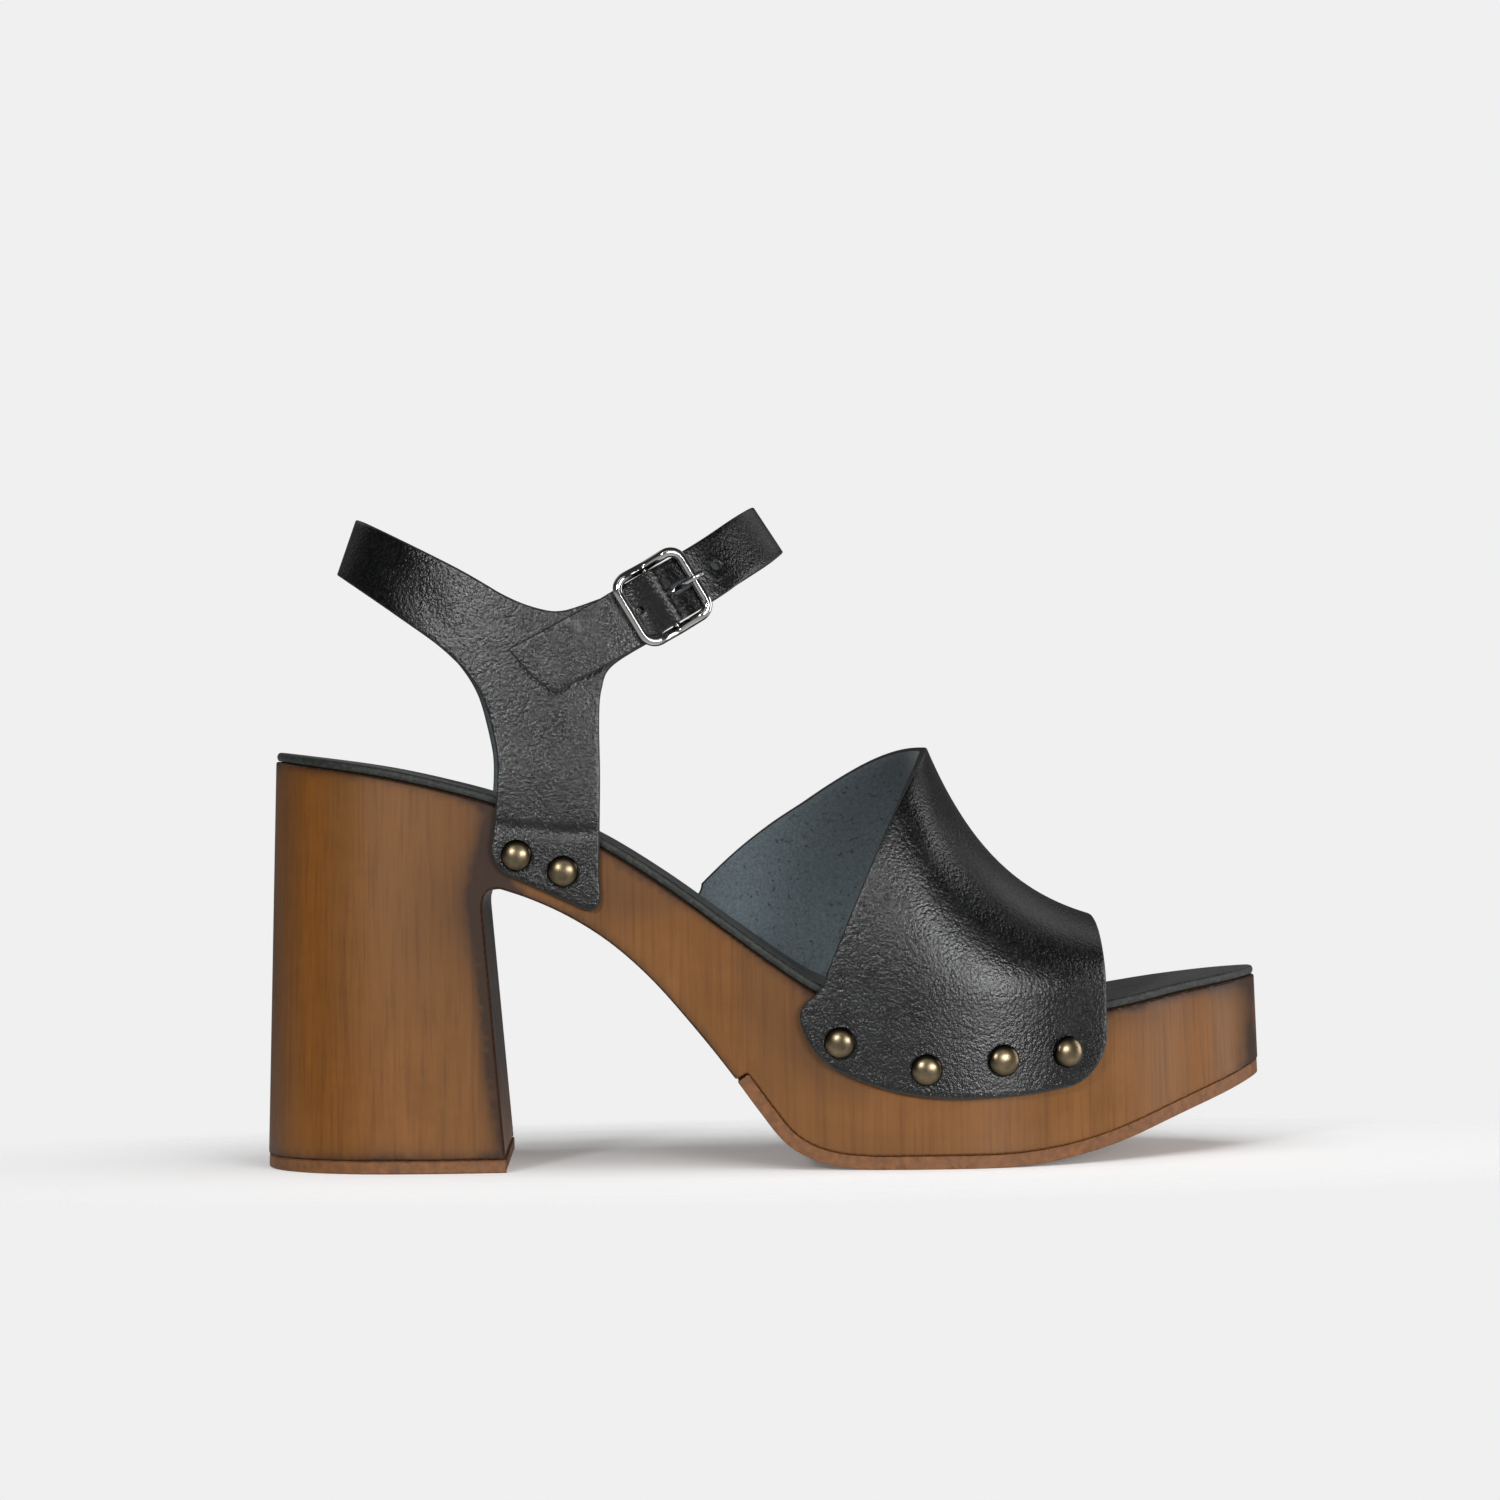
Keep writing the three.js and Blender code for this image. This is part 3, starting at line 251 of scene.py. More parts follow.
def resample(points, spacing, closed=False):
    """Points about spacing apart along a run of points."""
    run = np.vstack([points, points[:1]]) if closed else np.asarray(points)
    along = lengths_along(run)
    count = max(2, int(round(along[-1] / spacing)))
    at = np.linspace(0, along[-1], count + 1)
    out = np.column_stack([np.interp(at, along, run[:, k]) for k in range(run.shape[1])])
    return out[:-1] if closed else out


class Base:
    """The wood platform's form: its plan outline, its footbed and its underside."""

    def __init__(self):
        s = sizes()
        self.length = s.length / MM
        self.ball = s.ball_width / MM
        self.heel = s.heel_height / MM
        self.platform = s.platform / MM
        self.xs = PROFILE_XS
        self.flat_end = self.at(FLAT_END)
        self.toe_angle = math.atan(TOE_SLOPE)
        self.straight = self.flat_end + ROCKER * math.sin(self.toe_angle)
        self.tops = np.array([self._footbed(x) for x in self.xs])
        self.waist_x = self.at(UNDERSIDE[0][0])
        self.waist_z = self._footbed(self.waist_x) - SHANK
        self.unders = np.array([self._underside(x) for x in self.xs])
        tip_y = TOE_TIP_SHIFT * self.ball
        controls = [(HEEL_BACK, 0.0)]
        controls += [(self.at(share), -self.ball * outer) for share, outer, _ in PLAN]
        controls += [(self.at(1), tip_y)]
        controls += [(self.at(share), self.ball * inner) for share, _, inner in reversed(PLAN)]
        smooth = spline(controls, 1600, closed=True)[:-1]
        self.outline = resample(smooth, STEP, closed=True)
        n = len(self.outline)
        tangent = unit_rows(way_round(self.outline))
        self.normals = np.column_stack([tangent[:, 1], -tangent[:, 0]])
        behind_tip = self.outline[:, 0] < self.at(0.99)
        self.tip = int(np.argmin(np.abs(self.outline[:, 1] - tip_y) + 10 * behind_tip))
        self.runs = {}
        for side, part in ((LATERAL, slice(0, self.tip + 1)), (MEDIAL, slice(self.tip, n))):
            for z in (0.0, self.heel):
                ring = self.ring(z)[part]
                self.runs[side, z] = ring[np.argsort(ring[:, 0])]

    def at(self, share):
        return HEEL_BACK + share * self.length

    def share(self, x):
        return (x - HEEL_BACK) / self.length

    def _footbed(self, x):
        climb = read_table(FOOTBED, 1, self.share(x))
        lift = read_table(FOOTBED, 2, self.share(x))
        return self.platform + climb * (self.heel - self.platform) + lift * TOE_LIFT

    def _underside(self, x):
        if x > self.straight:
            return ROCKER * (1 - math.cos(self.toe_angle)) + TOE_SLOPE * (x - self.straight)
        if x > self.flat_end:
            return ROCKER - math.sqrt(ROCKER ** 2 - (x - self.flat_end) ** 2)
        return read_table(UNDERSIDE, 1, self.share(x)) * self.waist_z

    def top(self, x):
        return np.interp(x, self.xs, self.tops)

    def under(self, x):
        return np.interp(x, self.xs, self.unders)

    def lean(self, x, z):
        """How far the wall stands out at a height: flared at the heel, drawn in at the toe."""
        along = self.share(x)
        heel = HEEL_FLARE * (1 - z / self.heel) * (1 - smoothstep(*FLARE_FADE, along))
        toe = TOE_DRAFT * (z / (self.platform + TOE_LIFT)) * smoothstep(*DRAFT_START, along)
        return heel - toe

    def ring(self, z, inset=0.0):
        return self.outline + self.normals * (self.lean(self.outline[:, 0], z) - inset)[:, None]

    def on_ring(self, place, z, inset=0.0):
        """A wall point at a place along the outline, counted in outline points."""
        n = len(self.outline)
        i, t = int(math.floor(place)) % n, place - math.floor(place)
        j = (i + 1) % n
        flat = mix(self.outline[i], self.outline[j], t)
        normal = mix(self.normals[i], self.normals[j], t)
        out = flat + normal * (self.lean(flat[0], z) - inset)
        return np.array([out[0], out[1], z])

    def wall_y(self, side, x, z):
        low, high = self.runs[side, 0.0], self.runs[side, self.heel]
        return mix(np.interp(x, low[:, 0], low[:, 1]), np.interp(x, high[:, 0], high[:, 1]),
                   z / self.heel)

    def place_at(self, side, x, z):
        """Where along the outline the wall on one side reaches x, at a height."""
        n = len(self.outline)
        span = np.arange(0, self.tip + 1) if side == LATERAL else np.arange(n, self.tip - 1, -1)
        at = self.outline[span % n, 0] + self.normals[span % n, 0] * self.lean(
            self.outline[span % n, 0], z)
        order = np.argsort(at)
        return float(np.interp(x, at[order], span[order]))

    def beside(self, profile, distance, x):
        """A point a fixed distance over a profile, square to it, as x and z."""
        slope = profile(x + 0.5) - profile(x - 0.5)
        far = math.hypot(1, slope)
        return x - distance * slope / far, float(profile(x)) + distance / far


# Meshes


def new_object(name, points, faces, materials, indices=None):
    """A smooth-shaded mesh object from points in millimetres, joined to the scene."""
    mesh = bpy.data.meshes.new(name)
    mesh.from_pydata([tuple(np.asarray(p, float) * MM) for p in points], [], faces)
    mesh.validate()
    for material in materials:
        mesh.materials.append(material)
    if indices is not None:
        if len(indices) != len(mesh.polygons):
            raise RuntimeError("a face of " + name + " was dropped")
        mesh.polygons.foreach_set("material_index", indices)
    mesh.polygons.foreach_set("use_smooth", [True] * len(mesh.polygons))
    mesh.update()
    obj = bpy.data.objects.new(name, mesh)
    bpy.context.scene.collection.objects.link(obj)
    return obj


def ring_faces(rows, sides, closed=False, start=0):
    """Four-sided faces between rings of points; if closed, the last ring meets the first."""
    faces = []
    for k in range(rows if closed else rows - 1):
        low, high = start + k * sides, start + (k + 1) % rows * sides
        for j in range(sides):
            after = (j + 1) % sides
            faces.append([low + j, low + after, high + after, high + j])
    return faces


def face_outwards(obj):
    shape = bmesh.new()
    shape.from_mesh(obj.data)
    bmesh.ops.remove_doubles(shape, verts=shape.verts, dist=0.01 * MM)
    bmesh.ops.recalc_face_normals(shape, faces=shape.faces)
    shape.to_mesh(obj.data)
    shape.free()


def set_attribute(obj, name, values):
    attribute = obj.data.attributes.new(name, "FLOAT", "POINT")
    attribute.data.foreach_set("value", np.asarray(values, dtype=np.float32))


def points_of(obj):
    flat = np.empty(len(obj.data.vertices) * 3)
    obj.data.vertices.foreach_get("co", flat)
    return flat.reshape(-1, 3) / MM


def settle(obj, slot_name, *nodes):
    """The piece stands for its CAD nodes and moves with the sandal's one body."""
    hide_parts(*nodes)
    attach(obj, "root")


# Materials


def add_node(tree, kind, inputs=None, stops=None, **settings):
    """Adds a node with its settings, its ramp's (place, colour) stops and its input links."""
    made = tree.nodes.new(kind)
    for name, value in settings.items():
        setattr(made, name, value)
    for name, value in (inputs or {}).items():
        if isinstance(value, bpy.types.NodeSocket):
            tree.links.new(value, made.inputs[name])
        else:
            made.inputs[name].default_value = value
    if stops:
        elements = made.color_ramp.elements
        elements.remove(elements[-1])
        elements[0].position, elements[0].color = stops[0]
        for place, colour in stops[1:]:
            elements.new(place).color = colour
    return made


RAMP, MATH, MIX = "ShaderNodeValToRGB", "ShaderNodeMath", "ShaderNodeMix"
NOISE, CELLS, BUMP = "ShaderNodeTexNoise", "ShaderNodeTexVoronoi", "ShaderNodeBump"
STRETCH, ATTRIBUTE = "ShaderNodeMapping", "ShaderNodeAttribute"
TIMES = {"data_type": "RGBA", "blend_type": "MULTIPLY"}
# The mix node's colour sockets, whose names its other sockets share: two in and one out
A, B, MIXED = 6, 7, 2


def grey(value):
    return (value, value, value, 1)


def per(millimetres):
    """Texture scale for a pattern that repeats about every so many millimetres."""
    return 1 / (millimetres * MM)


def new_material(name, **constants):
    """A principled material, as (material, tree, shader, place in the object's own metres)."""
    material = bpy.data.materials.new(name)
    material.use_nodes = True
    tree = material.node_tree
    tree.nodes.clear()
    shader = add_node(tree, "ShaderNodeBsdfPrincipled")
    add_node(tree, "ShaderNodeOutputMaterial", {"Surface": shader.outputs["BSDF"]})
    for name, value in constants.items():
        shader.inputs[name.replace("_", " ")].default_value = value
    place = add_node(tree, "ShaderNodeTexCoord").outputs["Object"]
    return material, tree, shader, place


def stained_wood():
    """Poplar, cut with its fibre upright, stained brown and sealed with satin lacquer:
    fine upright streaks, soft broad changes of tone, burnished, darker edges and spots, and
    painted shade round the toe's end. The pores are too fine to show, so the finest streaks
    are drawn 0.9 mm apart."""
    material, tree, shader, place = new_material("stained poplar", IOR=1.36)
    c = colours()
    fibre = add_node(tree, STRETCH, {"Vector": place, "Scale": (1, 1, 0.03)}).outputs[0]
    wide = add_node(tree, STRETCH, {"Vector": place, "Scale": (1, 1, 0.06)}).outputs[0]
    fine = add_node(tree, NOISE, {
        "Vector": fibre, "Scale": per(0.9), "Detail": 5, "Roughness": 0.6}).outputs[0]
    broad = add_node(tree, NOISE, {"Vector": wide, "Scale": per(7), "Detail": 3}).outputs[0]
    mottle = add_node(tree, NOISE, {
        "Vector": place, "Scale": per(9), "Detail": 6, "Roughness": 0.62}).outputs[0]
    gold = add_node(tree, ATTRIBUTE, attribute_name="gold").outputs["Fac"]
    # Darkening: burnished edges and spots, and painted shade round the toe's end
    burn_and_shade = add_node(tree, ATTRIBUTE, attribute_name="burn_and_shade").outputs["Fac"]
    stain = add_node(tree, MIX, {"Factor": gold, A: c.wood, B: c.wood_gold}, data_type="RGBA")
    thick = add_node(tree, RAMP, {"Fac": fine}, [
        (0.25, grey(0.6)), (0.5, grey(0.12)), (0.7, grey(0))])
    streaks = add_node(tree, MIX, {
        "Factor": thick.outputs[0], A: stain.outputs[MIXED], B: c.wood_dark}, data_type="RGBA")
    bands = add_node(tree, RAMP, {"Fac": broad}, [(0.3, grey(0.86)), (0.7, grey(1.04))])
    cloud = add_node(tree, RAMP, {"Fac": mottle}, [(0.3, grey(0.86)), (0.7, grey(1.05))])
    body = streaks
    for layer in (bands, cloud):
        body = add_node(tree, MIX, {
            "Factor": 1.0, A: body.outputs[MIXED], B: layer.outputs[0]}, **TIMES)
    uneven = add_node(tree, MATH, {0: mottle, 1: 1.1, 2: -0.55},
                      operation="MULTIPLY_ADD").outputs[0]
    patchy = add_node(tree, MATH, {0: burn_and_shade, 1: uneven}, operation="ADD").outputs[0]
    heavy = add_node(tree, MATH, {0: patchy, 1: burn_and_shade}, operation="MULTIPLY").outputs[0]
    dark = add_node(tree, RAMP, {"Fac": heavy}, [(0.0, grey(0)), (0.9, grey(0.92))])
    skin = add_node(tree, MIX, {
        "Factor": dark.outputs[0], A: body.outputs[MIXED], B: c.wood_burnt_and_shade}, data_type="RGBA")
    tree.links.new(skin.outputs[MIXED], shader.inputs["Base Color"])
    gloss = add_node(tree, RAMP, {"Fac": mottle}, [(0.3, grey(0.4)), (0.7, grey(0.5))])
    tree.links.new(gloss.outputs[0], shader.inputs["Roughness"])
    rough = add_node(tree, MATH, {0: fine, 1: 0.6, 2: mottle}, operation="MULTIPLY_ADD").outputs[0]
    bump = add_node(tree, BUMP, {"Height": rough, "Strength": 0.3, "Distance": 0.2 * MM})
    tree.links.new(bump.outputs[0], shader.inputs["Normal"])
    return material


def tread_rubber():
    """Moulded rubber, coloured to match the stained wood: matt and slightly grainy."""
    material, tree, shader, place = new_material("brown moulded rubber", Roughness=0.6)
    grain = add_node(tree, NOISE, {"Vector": place, "Scale": per(1.6), "Detail": 4}).outputs[0]
    tone = add_node(tree, RAMP, {"Fac": grain}, [(0.3, grey(0.6)), (0.7, grey(1.05))])
    body = add_node(tree, MIX, {"Factor": 1.0, A: tone.outputs[0], B: colours().tread}, **TIMES)
    tree.links.new(body.outputs[MIXED], shader.inputs["Base Color"])
    bump = add_node(tree, BUMP, {"Height": grain, "Strength": 0.3, "Distance": 0.15 * MM})
    tree.links.new(bump.outputs[0], shader.inputs["Normal"])
    return material


def leather(name, colour, cell, depth, roughness, contrast, **constants):
    """Leather with pebbled grain: rounded cells about cell mm wide over a finer pitting, a
    gloss that wanders, and a tone that is darker in the pits and lighter on the pebbles."""
    material, tree, shader, place = new_material(name, **constants)
    cells = add_node(tree, CELLS, {"Vector": place, "Scale": per(cell)}, feature="SMOOTH_F1")
    pits = add_node(tree, NOISE, {
        "Vector": place, "Scale": per(cell * 0.55), "Detail": 3}).outputs[0]
    wander = add_node(tree, NOISE, {
        "Vector": place, "Scale": per(cell * 9), "Detail": 2}).outputs[0]
    height = add_node(tree, MATH, {0: cells.outputs["Distance"], 1: -1.0, 2: pits},
                      operation="MULTIPLY_ADD").outputs[0]
    low, high = contrast
    tone = add_node(tree, RAMP, {"Fac": height}, [(0.0, grey(low)), (0.6, grey(high))])
    body = add_node(tree, MIX, {"Factor": 1.0, A: tone.outputs[0], B: colour}, **TIMES)
    tree.links.new(body.outputs[MIXED], shader.inputs["Base Color"])
    gloss = add_node(tree, RAMP, {"Fac": wander}, [
        (0.3, grey(roughness - 0.05)), (0.7, grey(roughness + 0.05))])
    tree.links.new(gloss.outputs[0], shader.inputs["Roughness"])
    bump = add_node(tree, BUMP, {"Height": height, "Strength": 0.6, "Distance": depth * MM})
    tree.links.new(bump.outputs[0], shader.inputs["Normal"])
    return material


def upper_leather():
    """Chrome-tanned cowhide, dyed black and lightly finished: pebbled grain with a soft
    sheen. The real grain is too fine to show, so it is drawn 0.72 mm wide."""
    return leather("grained black cowhide", colours().leather, 0.72, 0.17, 0.27, (0.15, 2.6),
                   IOR=1.55)


def footbed_leather():
    """Smooth lining leather, dyed dark and glued flat: dull, with a fine even grain, drawn
    1.1 mm wide so that it shows."""
    return leather("smooth lining leather", colours().footbed, 1.1, 0.2, 0.58, (0.5, 1.7),
                   Sheen_Weight=0.06, Sheen_Roughness=0.45)


SUEDE_RAMP_HEIGHT = 0.1  # metres of height over which the ramp that darkens the suede upwards is scaled


def flesh_side():
    """The leather's suede back: fibrous, blue-grey, with darker specks and no gloss, and
    darker higher up. Its nap is drawn 0.7 mm wide to show."""
    material, tree, shader, place = new_material(
        "suede flesh side", Roughness=0.95, Sheen_Weight=0.25)
    fuzz = add_node(tree, NOISE, {
        "Vector": place, "Scale": per(0.7), "Detail": 5, "Roughness": 0.7}).outputs[0]
    specks = add_node(tree, NOISE, {"Vector": place, "Scale": per(1.3), "Detail": 3}).outputs[0]
    tone = add_node(tree, RAMP, {"Fac": fuzz}, [(0.3, grey(0.6)), (0.68, grey(1.2))])
    dark = add_node(tree, RAMP, {"Fac": specks}, [(0.3, grey(0.45)), (0.38, grey(1.0))])
    height = add_node(tree, "ShaderNodeSeparateXYZ", {0: place}).outputs["Z"]
    share = add_node(tree, MATH, {0: height, 1: SUEDE_RAMP_HEIGHT}, operation="DIVIDE").outputs[0]
    # The suede is made darker higher up, from 55 to 95 mm over the floor
    tone_ramp = add_node(tree, RAMP, {"Fac": share}, [(0.55, grey(1.0)), (0.95, grey(0.4))])
    body = tone.outputs[0]
    for layer in (dark.outputs[0], tone_ramp.outputs[0], colours().flesh):
        body = add_node(tree, MIX, {"Factor": 1.0, A: body, B: layer}, **TIMES).outputs[MIXED]
    tree.links.new(body, shader.inputs["Base Color"])
    bump = add_node(tree, BUMP, {"Height": fuzz, "Strength": 0.7, "Distance": 0.25 * MM})
    tree.links.new(bump.outputs[0], shader.inputs["Normal"])
    return material


def cut_edge():
    """The leather's raw cut edge, dyed but fibrous: greyer and duller than the grain side,
    with fibres drawn 0.6 mm wide so that they show."""
    material, tree, shader, place = new_material("raw leather edge", Roughness=0.75)
    fibres = add_node(tree, NOISE, {"Vector": place, "Scale": per(0.6), "Detail": 4}).outputs[0]
    tone = add_node(tree, RAMP, {"Fac": fibres}, [(0.3, grey(0.35)), (0.7, grey(1.0))])
    body = add_node(tree, MIX, {"Factor": 1.0, A: tone.outputs[0], B: colours().cut_edge}, **TIMES)
    tree.links.new(body.outputs[MIXED], shader.inputs["Base Color"])
    bump = add_node(tree, BUMP, {"Height": fibres, "Strength": 0.5, "Distance": 0.2 * MM})
    tree.links.new(bump.outputs[0], shader.inputs["Normal"])
    return material


def antique_brass():
    """Brass, stamped to a dome, darkened and polished back: worn bright on the crown and
    dark in the rim."""
    material, tree, shader, place = new_material("antique brass", Metallic=1.0, Roughness=0.3)
    rim = add_node(tree, ATTRIBUTE, attribute_name="rim").outputs["Fac"]
    patina = add_node(tree, NOISE, {"Vector": place, "Scale": per(2), "Detail": 4}).outputs[0]
    stain = add_node(tree, RAMP, {"Fac": patina}, [(0.3, grey(0.6)), (0.65, grey(1.0))])
    tone_ramp = add_node(tree, RAMP, {"Fac": rim}, [(0.6, grey(1.0)), (0.95, grey(0.16))])
    body = stain.outputs[0]
    for layer in (tone_ramp.outputs[0], colours().brass):
        body = add_node(tree, MIX, {"Factor": 1.0, A: body, B: layer}, **TIMES).outputs[MIXED]
    tree.links.new(body, shader.inputs["Base Color"])
    return material


def polished_nickel():
    """Nickel-plated zinc, cast and polished: clear dark and light reflections."""
    material, tree, shader, place = new_material("polished nickel plate", Metallic=1.0)
    shader.inputs["Base Color"].default_value = colours().steel
    haze = add_node(tree, NOISE, {"Vector": place, "Scale": per(3), "Detail": 3}).outputs[0]
    gloss = add_node(tree, RAMP, {"Fac": haze}, [(0.3, grey(0.08)), (0.7, grey(0.16))])
    tree.links.new(gloss.outputs[0], shader.inputs["Roughness"])
    return material


# The lit floor: half its length and width before it fades out, the sandal's middle in x,
# both in metres, and its own glow
FLOOR_HALF = (0.26, 0.12)
MIDDLE = 0.09
FLOOR_GLOW = 0.14


def lit_table():
    """Translucent white acrylic, lit from below, which fades out round the sandal so that it
    has no rim."""
    material, tree, shader, place = new_material(
        "lit acrylic table", Roughness=1.0, Specular_IOR_Level=0.0)
    shader.inputs["Base Color"].default_value = colours().floor
    shader.inputs["Emission Color"].default_value = colours().floor
    shader.inputs["Emission Strength"].default_value = FLOOR_GLOW
    centred = add_node(tree, STRETCH, {
        "Vector": place, "Location": (-MIDDLE / FLOOR_HALF[0], 0, 0),
        "Scale": (1 / FLOOR_HALF[0], 1 / FLOOR_HALF[1], 1)}).outputs[0]
    far = add_node(tree, "ShaderNodeVectorMath", {0: centred}, operation="LENGTH").outputs["Value"]
    fade = add_node(tree, RAMP, {"Fac": far}, [(0.45, grey(1)), (0.97, grey(0))])
    tree.links.new(fade.outputs[0], shader.inputs["Alpha"])
    return material


# Flat fills

GRID = 1.6  # between the points of a block's wall; its caps' grid is coarser
CAP_GRID, CAP_ROOM, WALL_ROOM = 1.5 * GRID, 0.8 * GRID, 0.45 * GRID
FINE_STEP = 0.12
ROW_HEIGHT = 0.866  # of a row of triangles with equal sides, as a share of a side


def inside(points, loops):
    """Which points lie inside a set of closed loops, by the even-odd rule."""
    hit = np.zeros(len(points), bool)
    px, py = points[:, 0], points[:, 1]
    for loop in loops:
        for (x0, y0), (x1, y1) in zip(loop, np.roll(loop, -1, axis=0)):
            if y0 == y1:
                continue
            cross = ((y0 > py) != (y1 > py)) & (px < (x1 - x0) * (py - y0) / (y1 - y0) + x0)
            hit ^= cross
    return hit


def distance_to(points, runs):
    """Distance from each point to the nearest of several runs of points."""
    dense = np.vstack([np.vstack([resample(run, FINE_STEP), run]) for run in runs])
    tree = KDTree(len(dense))
    for i, (x, y) in enumerate(dense):
        tree.insert((x, y, 0), i)
    tree.balance()
    return np.array([tree.find((x, y, 0))[2] for x, y in points])


def grid_points(low, high, spacing):
    """Points of a staggered grid over a box."""
    rows = []
    for k, y in enumerate(np.arange(low[1], high[1], spacing * ROW_HEIGHT)):
        x = np.arange(low[0] + (k % 2) * spacing / 2, high[0], spacing)
        rows.append(np.column_stack([x, np.full(len(x), y)]))
    return np.vstack(rows)


def inner_points(loops, spacing, clear, extra=()):
    """Grid points inside the loops, clear of them, after any extra points."""
    every = np.vstack(loops)
    grid = grid_points(every.min(0), every.max(0), spacing)
    grid = grid[inside(grid, loops)]
    closed = [np.vstack([loop, loop[:1]]) for loop in loops]
    grid = grid[distance_to(grid, closed) > clear]
    if len(extra):
        extra = np.asarray(extra)
        near = np.full(len(grid), 1e9)
        for start in range(0, len(extra), 500):
            part = extra[start:start + 500]
            gap = np.sqrt(((grid[:, None] - part[None]) ** 2).sum(2)).min(1)
            near = np.minimum(near, gap)
        grid = np.vstack([extra, grid[near > spacing * 0.6]])
    return grid


def fill(loops, free):
    """Triangles over the inside of closed loops, through free inner points. The loops'
    points come first, in order."""
    rims = np.vstack(loops)
    edges, start = [], 0
    for loop in loops:
        n = len(loop)
        edges += [(start + i, start + (i + 1) % n) for i in range(n)]
        start += n
    points = np.vstack([rims, free])
    made = delaunay_2d_cdt([Vector(p) for p in points], edges, [], 0, 1e-5)
    flat = np.array([tuple(v) for v in made[0]])
    names = [origin[0] if origin else -1 for origin in made[3]]
    if min(names) < 0:
        raise RuntimeError("an outline crosses itself")
    faces = np.array(made[2])
    centres = flat[faces].mean(axis=1)
    faces = faces[inside(centres, loops)]
    return points, [[names[i] for i in face] for face in faces]


def inward_rings(loop, gaps, spacing):
    """Points at set distances inside a closed loop that runs anticlockwise."""
    rings = []
    closed = np.vstack([loop, loop[:1]])
    run = resample(loop, spacing, closed=True)
    tangent = unit_rows(way_round(run))
    normal = np.column_stack([-tangent[:, 1], tangent[:, 0]])
    for gap in gaps:
        ring = run + normal * gap
        far = distance_to(ring, [closed])
        rings.append(ring[far > gap * 0.97])
    return rings


# Blocks with the platform's outline

# Shares of an edge's radius where rows of points follow its rounding, and their step
ROUNDING, ROUNDING_STEP = (0.13, 0.4, 1.0), 0.9
FAR_FROM_EDGE = 9.0
SHARP = math.radians(38)
# Near the heel's back and the toe's tip a chain goes by place along the outline, not by x
BACK_CUT, TIP_CUT, END_REACH = 4, 5, 12
# Room between the rows there and the rows beside them, in outline points
ROOM_AFTER, ROOM_BEFORE, ROOM_LAST = 0.8, 0.5, 0.6


class Chain:
    """A run of points in the side view, with the length along it."""

    def __init__(self, points):
        self.points = resample(np.asarray(points, float), STEP)
        self.along = lengths_along(self.points)
        self.grade = np.gradient(self.points[:, 0], self.along)

    def at(self, s):
        return tuple(np.interp(s, self.along, self.points[:, k]) for k in (0, 1))

    def from_x(self, x, mask):
        return (np.interp(x, self.points[mask, 0], self.points[mask, 1]),
                np.interp(x, self.points[mask, 0], self.along[mask]))


def wall_line(base, chain):
    """A chain laid round the wall, as rows of place, height and length along the chain. The
    rows run with the outline, so they pass the toe, the heel's back, or both."""
    n = len(base.outline)
    x, z = chain.points.T
    back_cut, tip_cut = HEEL_BACK + BACK_CUT, base.at(1) - TIP_CUT
    from_back, to_tip = x[0] < HEEL_BACK, x[-1] > base.at(1)
    middle = (x < tip_cut if to_tip else x < 1e9) & (x > back_cut if from_back else x > -1e9)

    def ends(places, mask):
        rows = []
        for place in places:
            height = z[mask].mean()
            for _ in range(4):
                height, s = chain.from_x(base.on_ring(place, height)[0], mask)
            rows.append((place, height, s))
        return rows

    def beside(side):
        return [(base.place_at(side, *p), p[1], s)
                for p, s in zip(chain.points[middle], chain.along[middle])]

    def between(first, last):
        return np.arange(first + ROOM_AFTER, last - ROOM_BEFORE, 1.0)

    lateral, medial = beside(LATERAL), beside(MEDIAL)[::-1]
    behind, ahead = x < back_cut + END_REACH, x > tip_cut - END_REACH
    if to_tip:
        rows = lateral + ends(between(lateral[-1][0], medial[0][0]), ahead) + medial
        if from_back:
            first = np.arange(0, lateral[0][0] - ROOM_BEFORE, 1.0)
            last = np.append(np.arange(medial[-1][0] + ROOM_AFTER, n - ROOM_LAST, 1.0), n)
            rows = ends(first, behind) + rows + ends(last, behind)
        return np.array(rows)
    turned = [(place + n, height, s) for place, height, s in lateral]
    return np.array(medial + ends(between(medial[-1][0], turned[0][0]), behind) + turned)


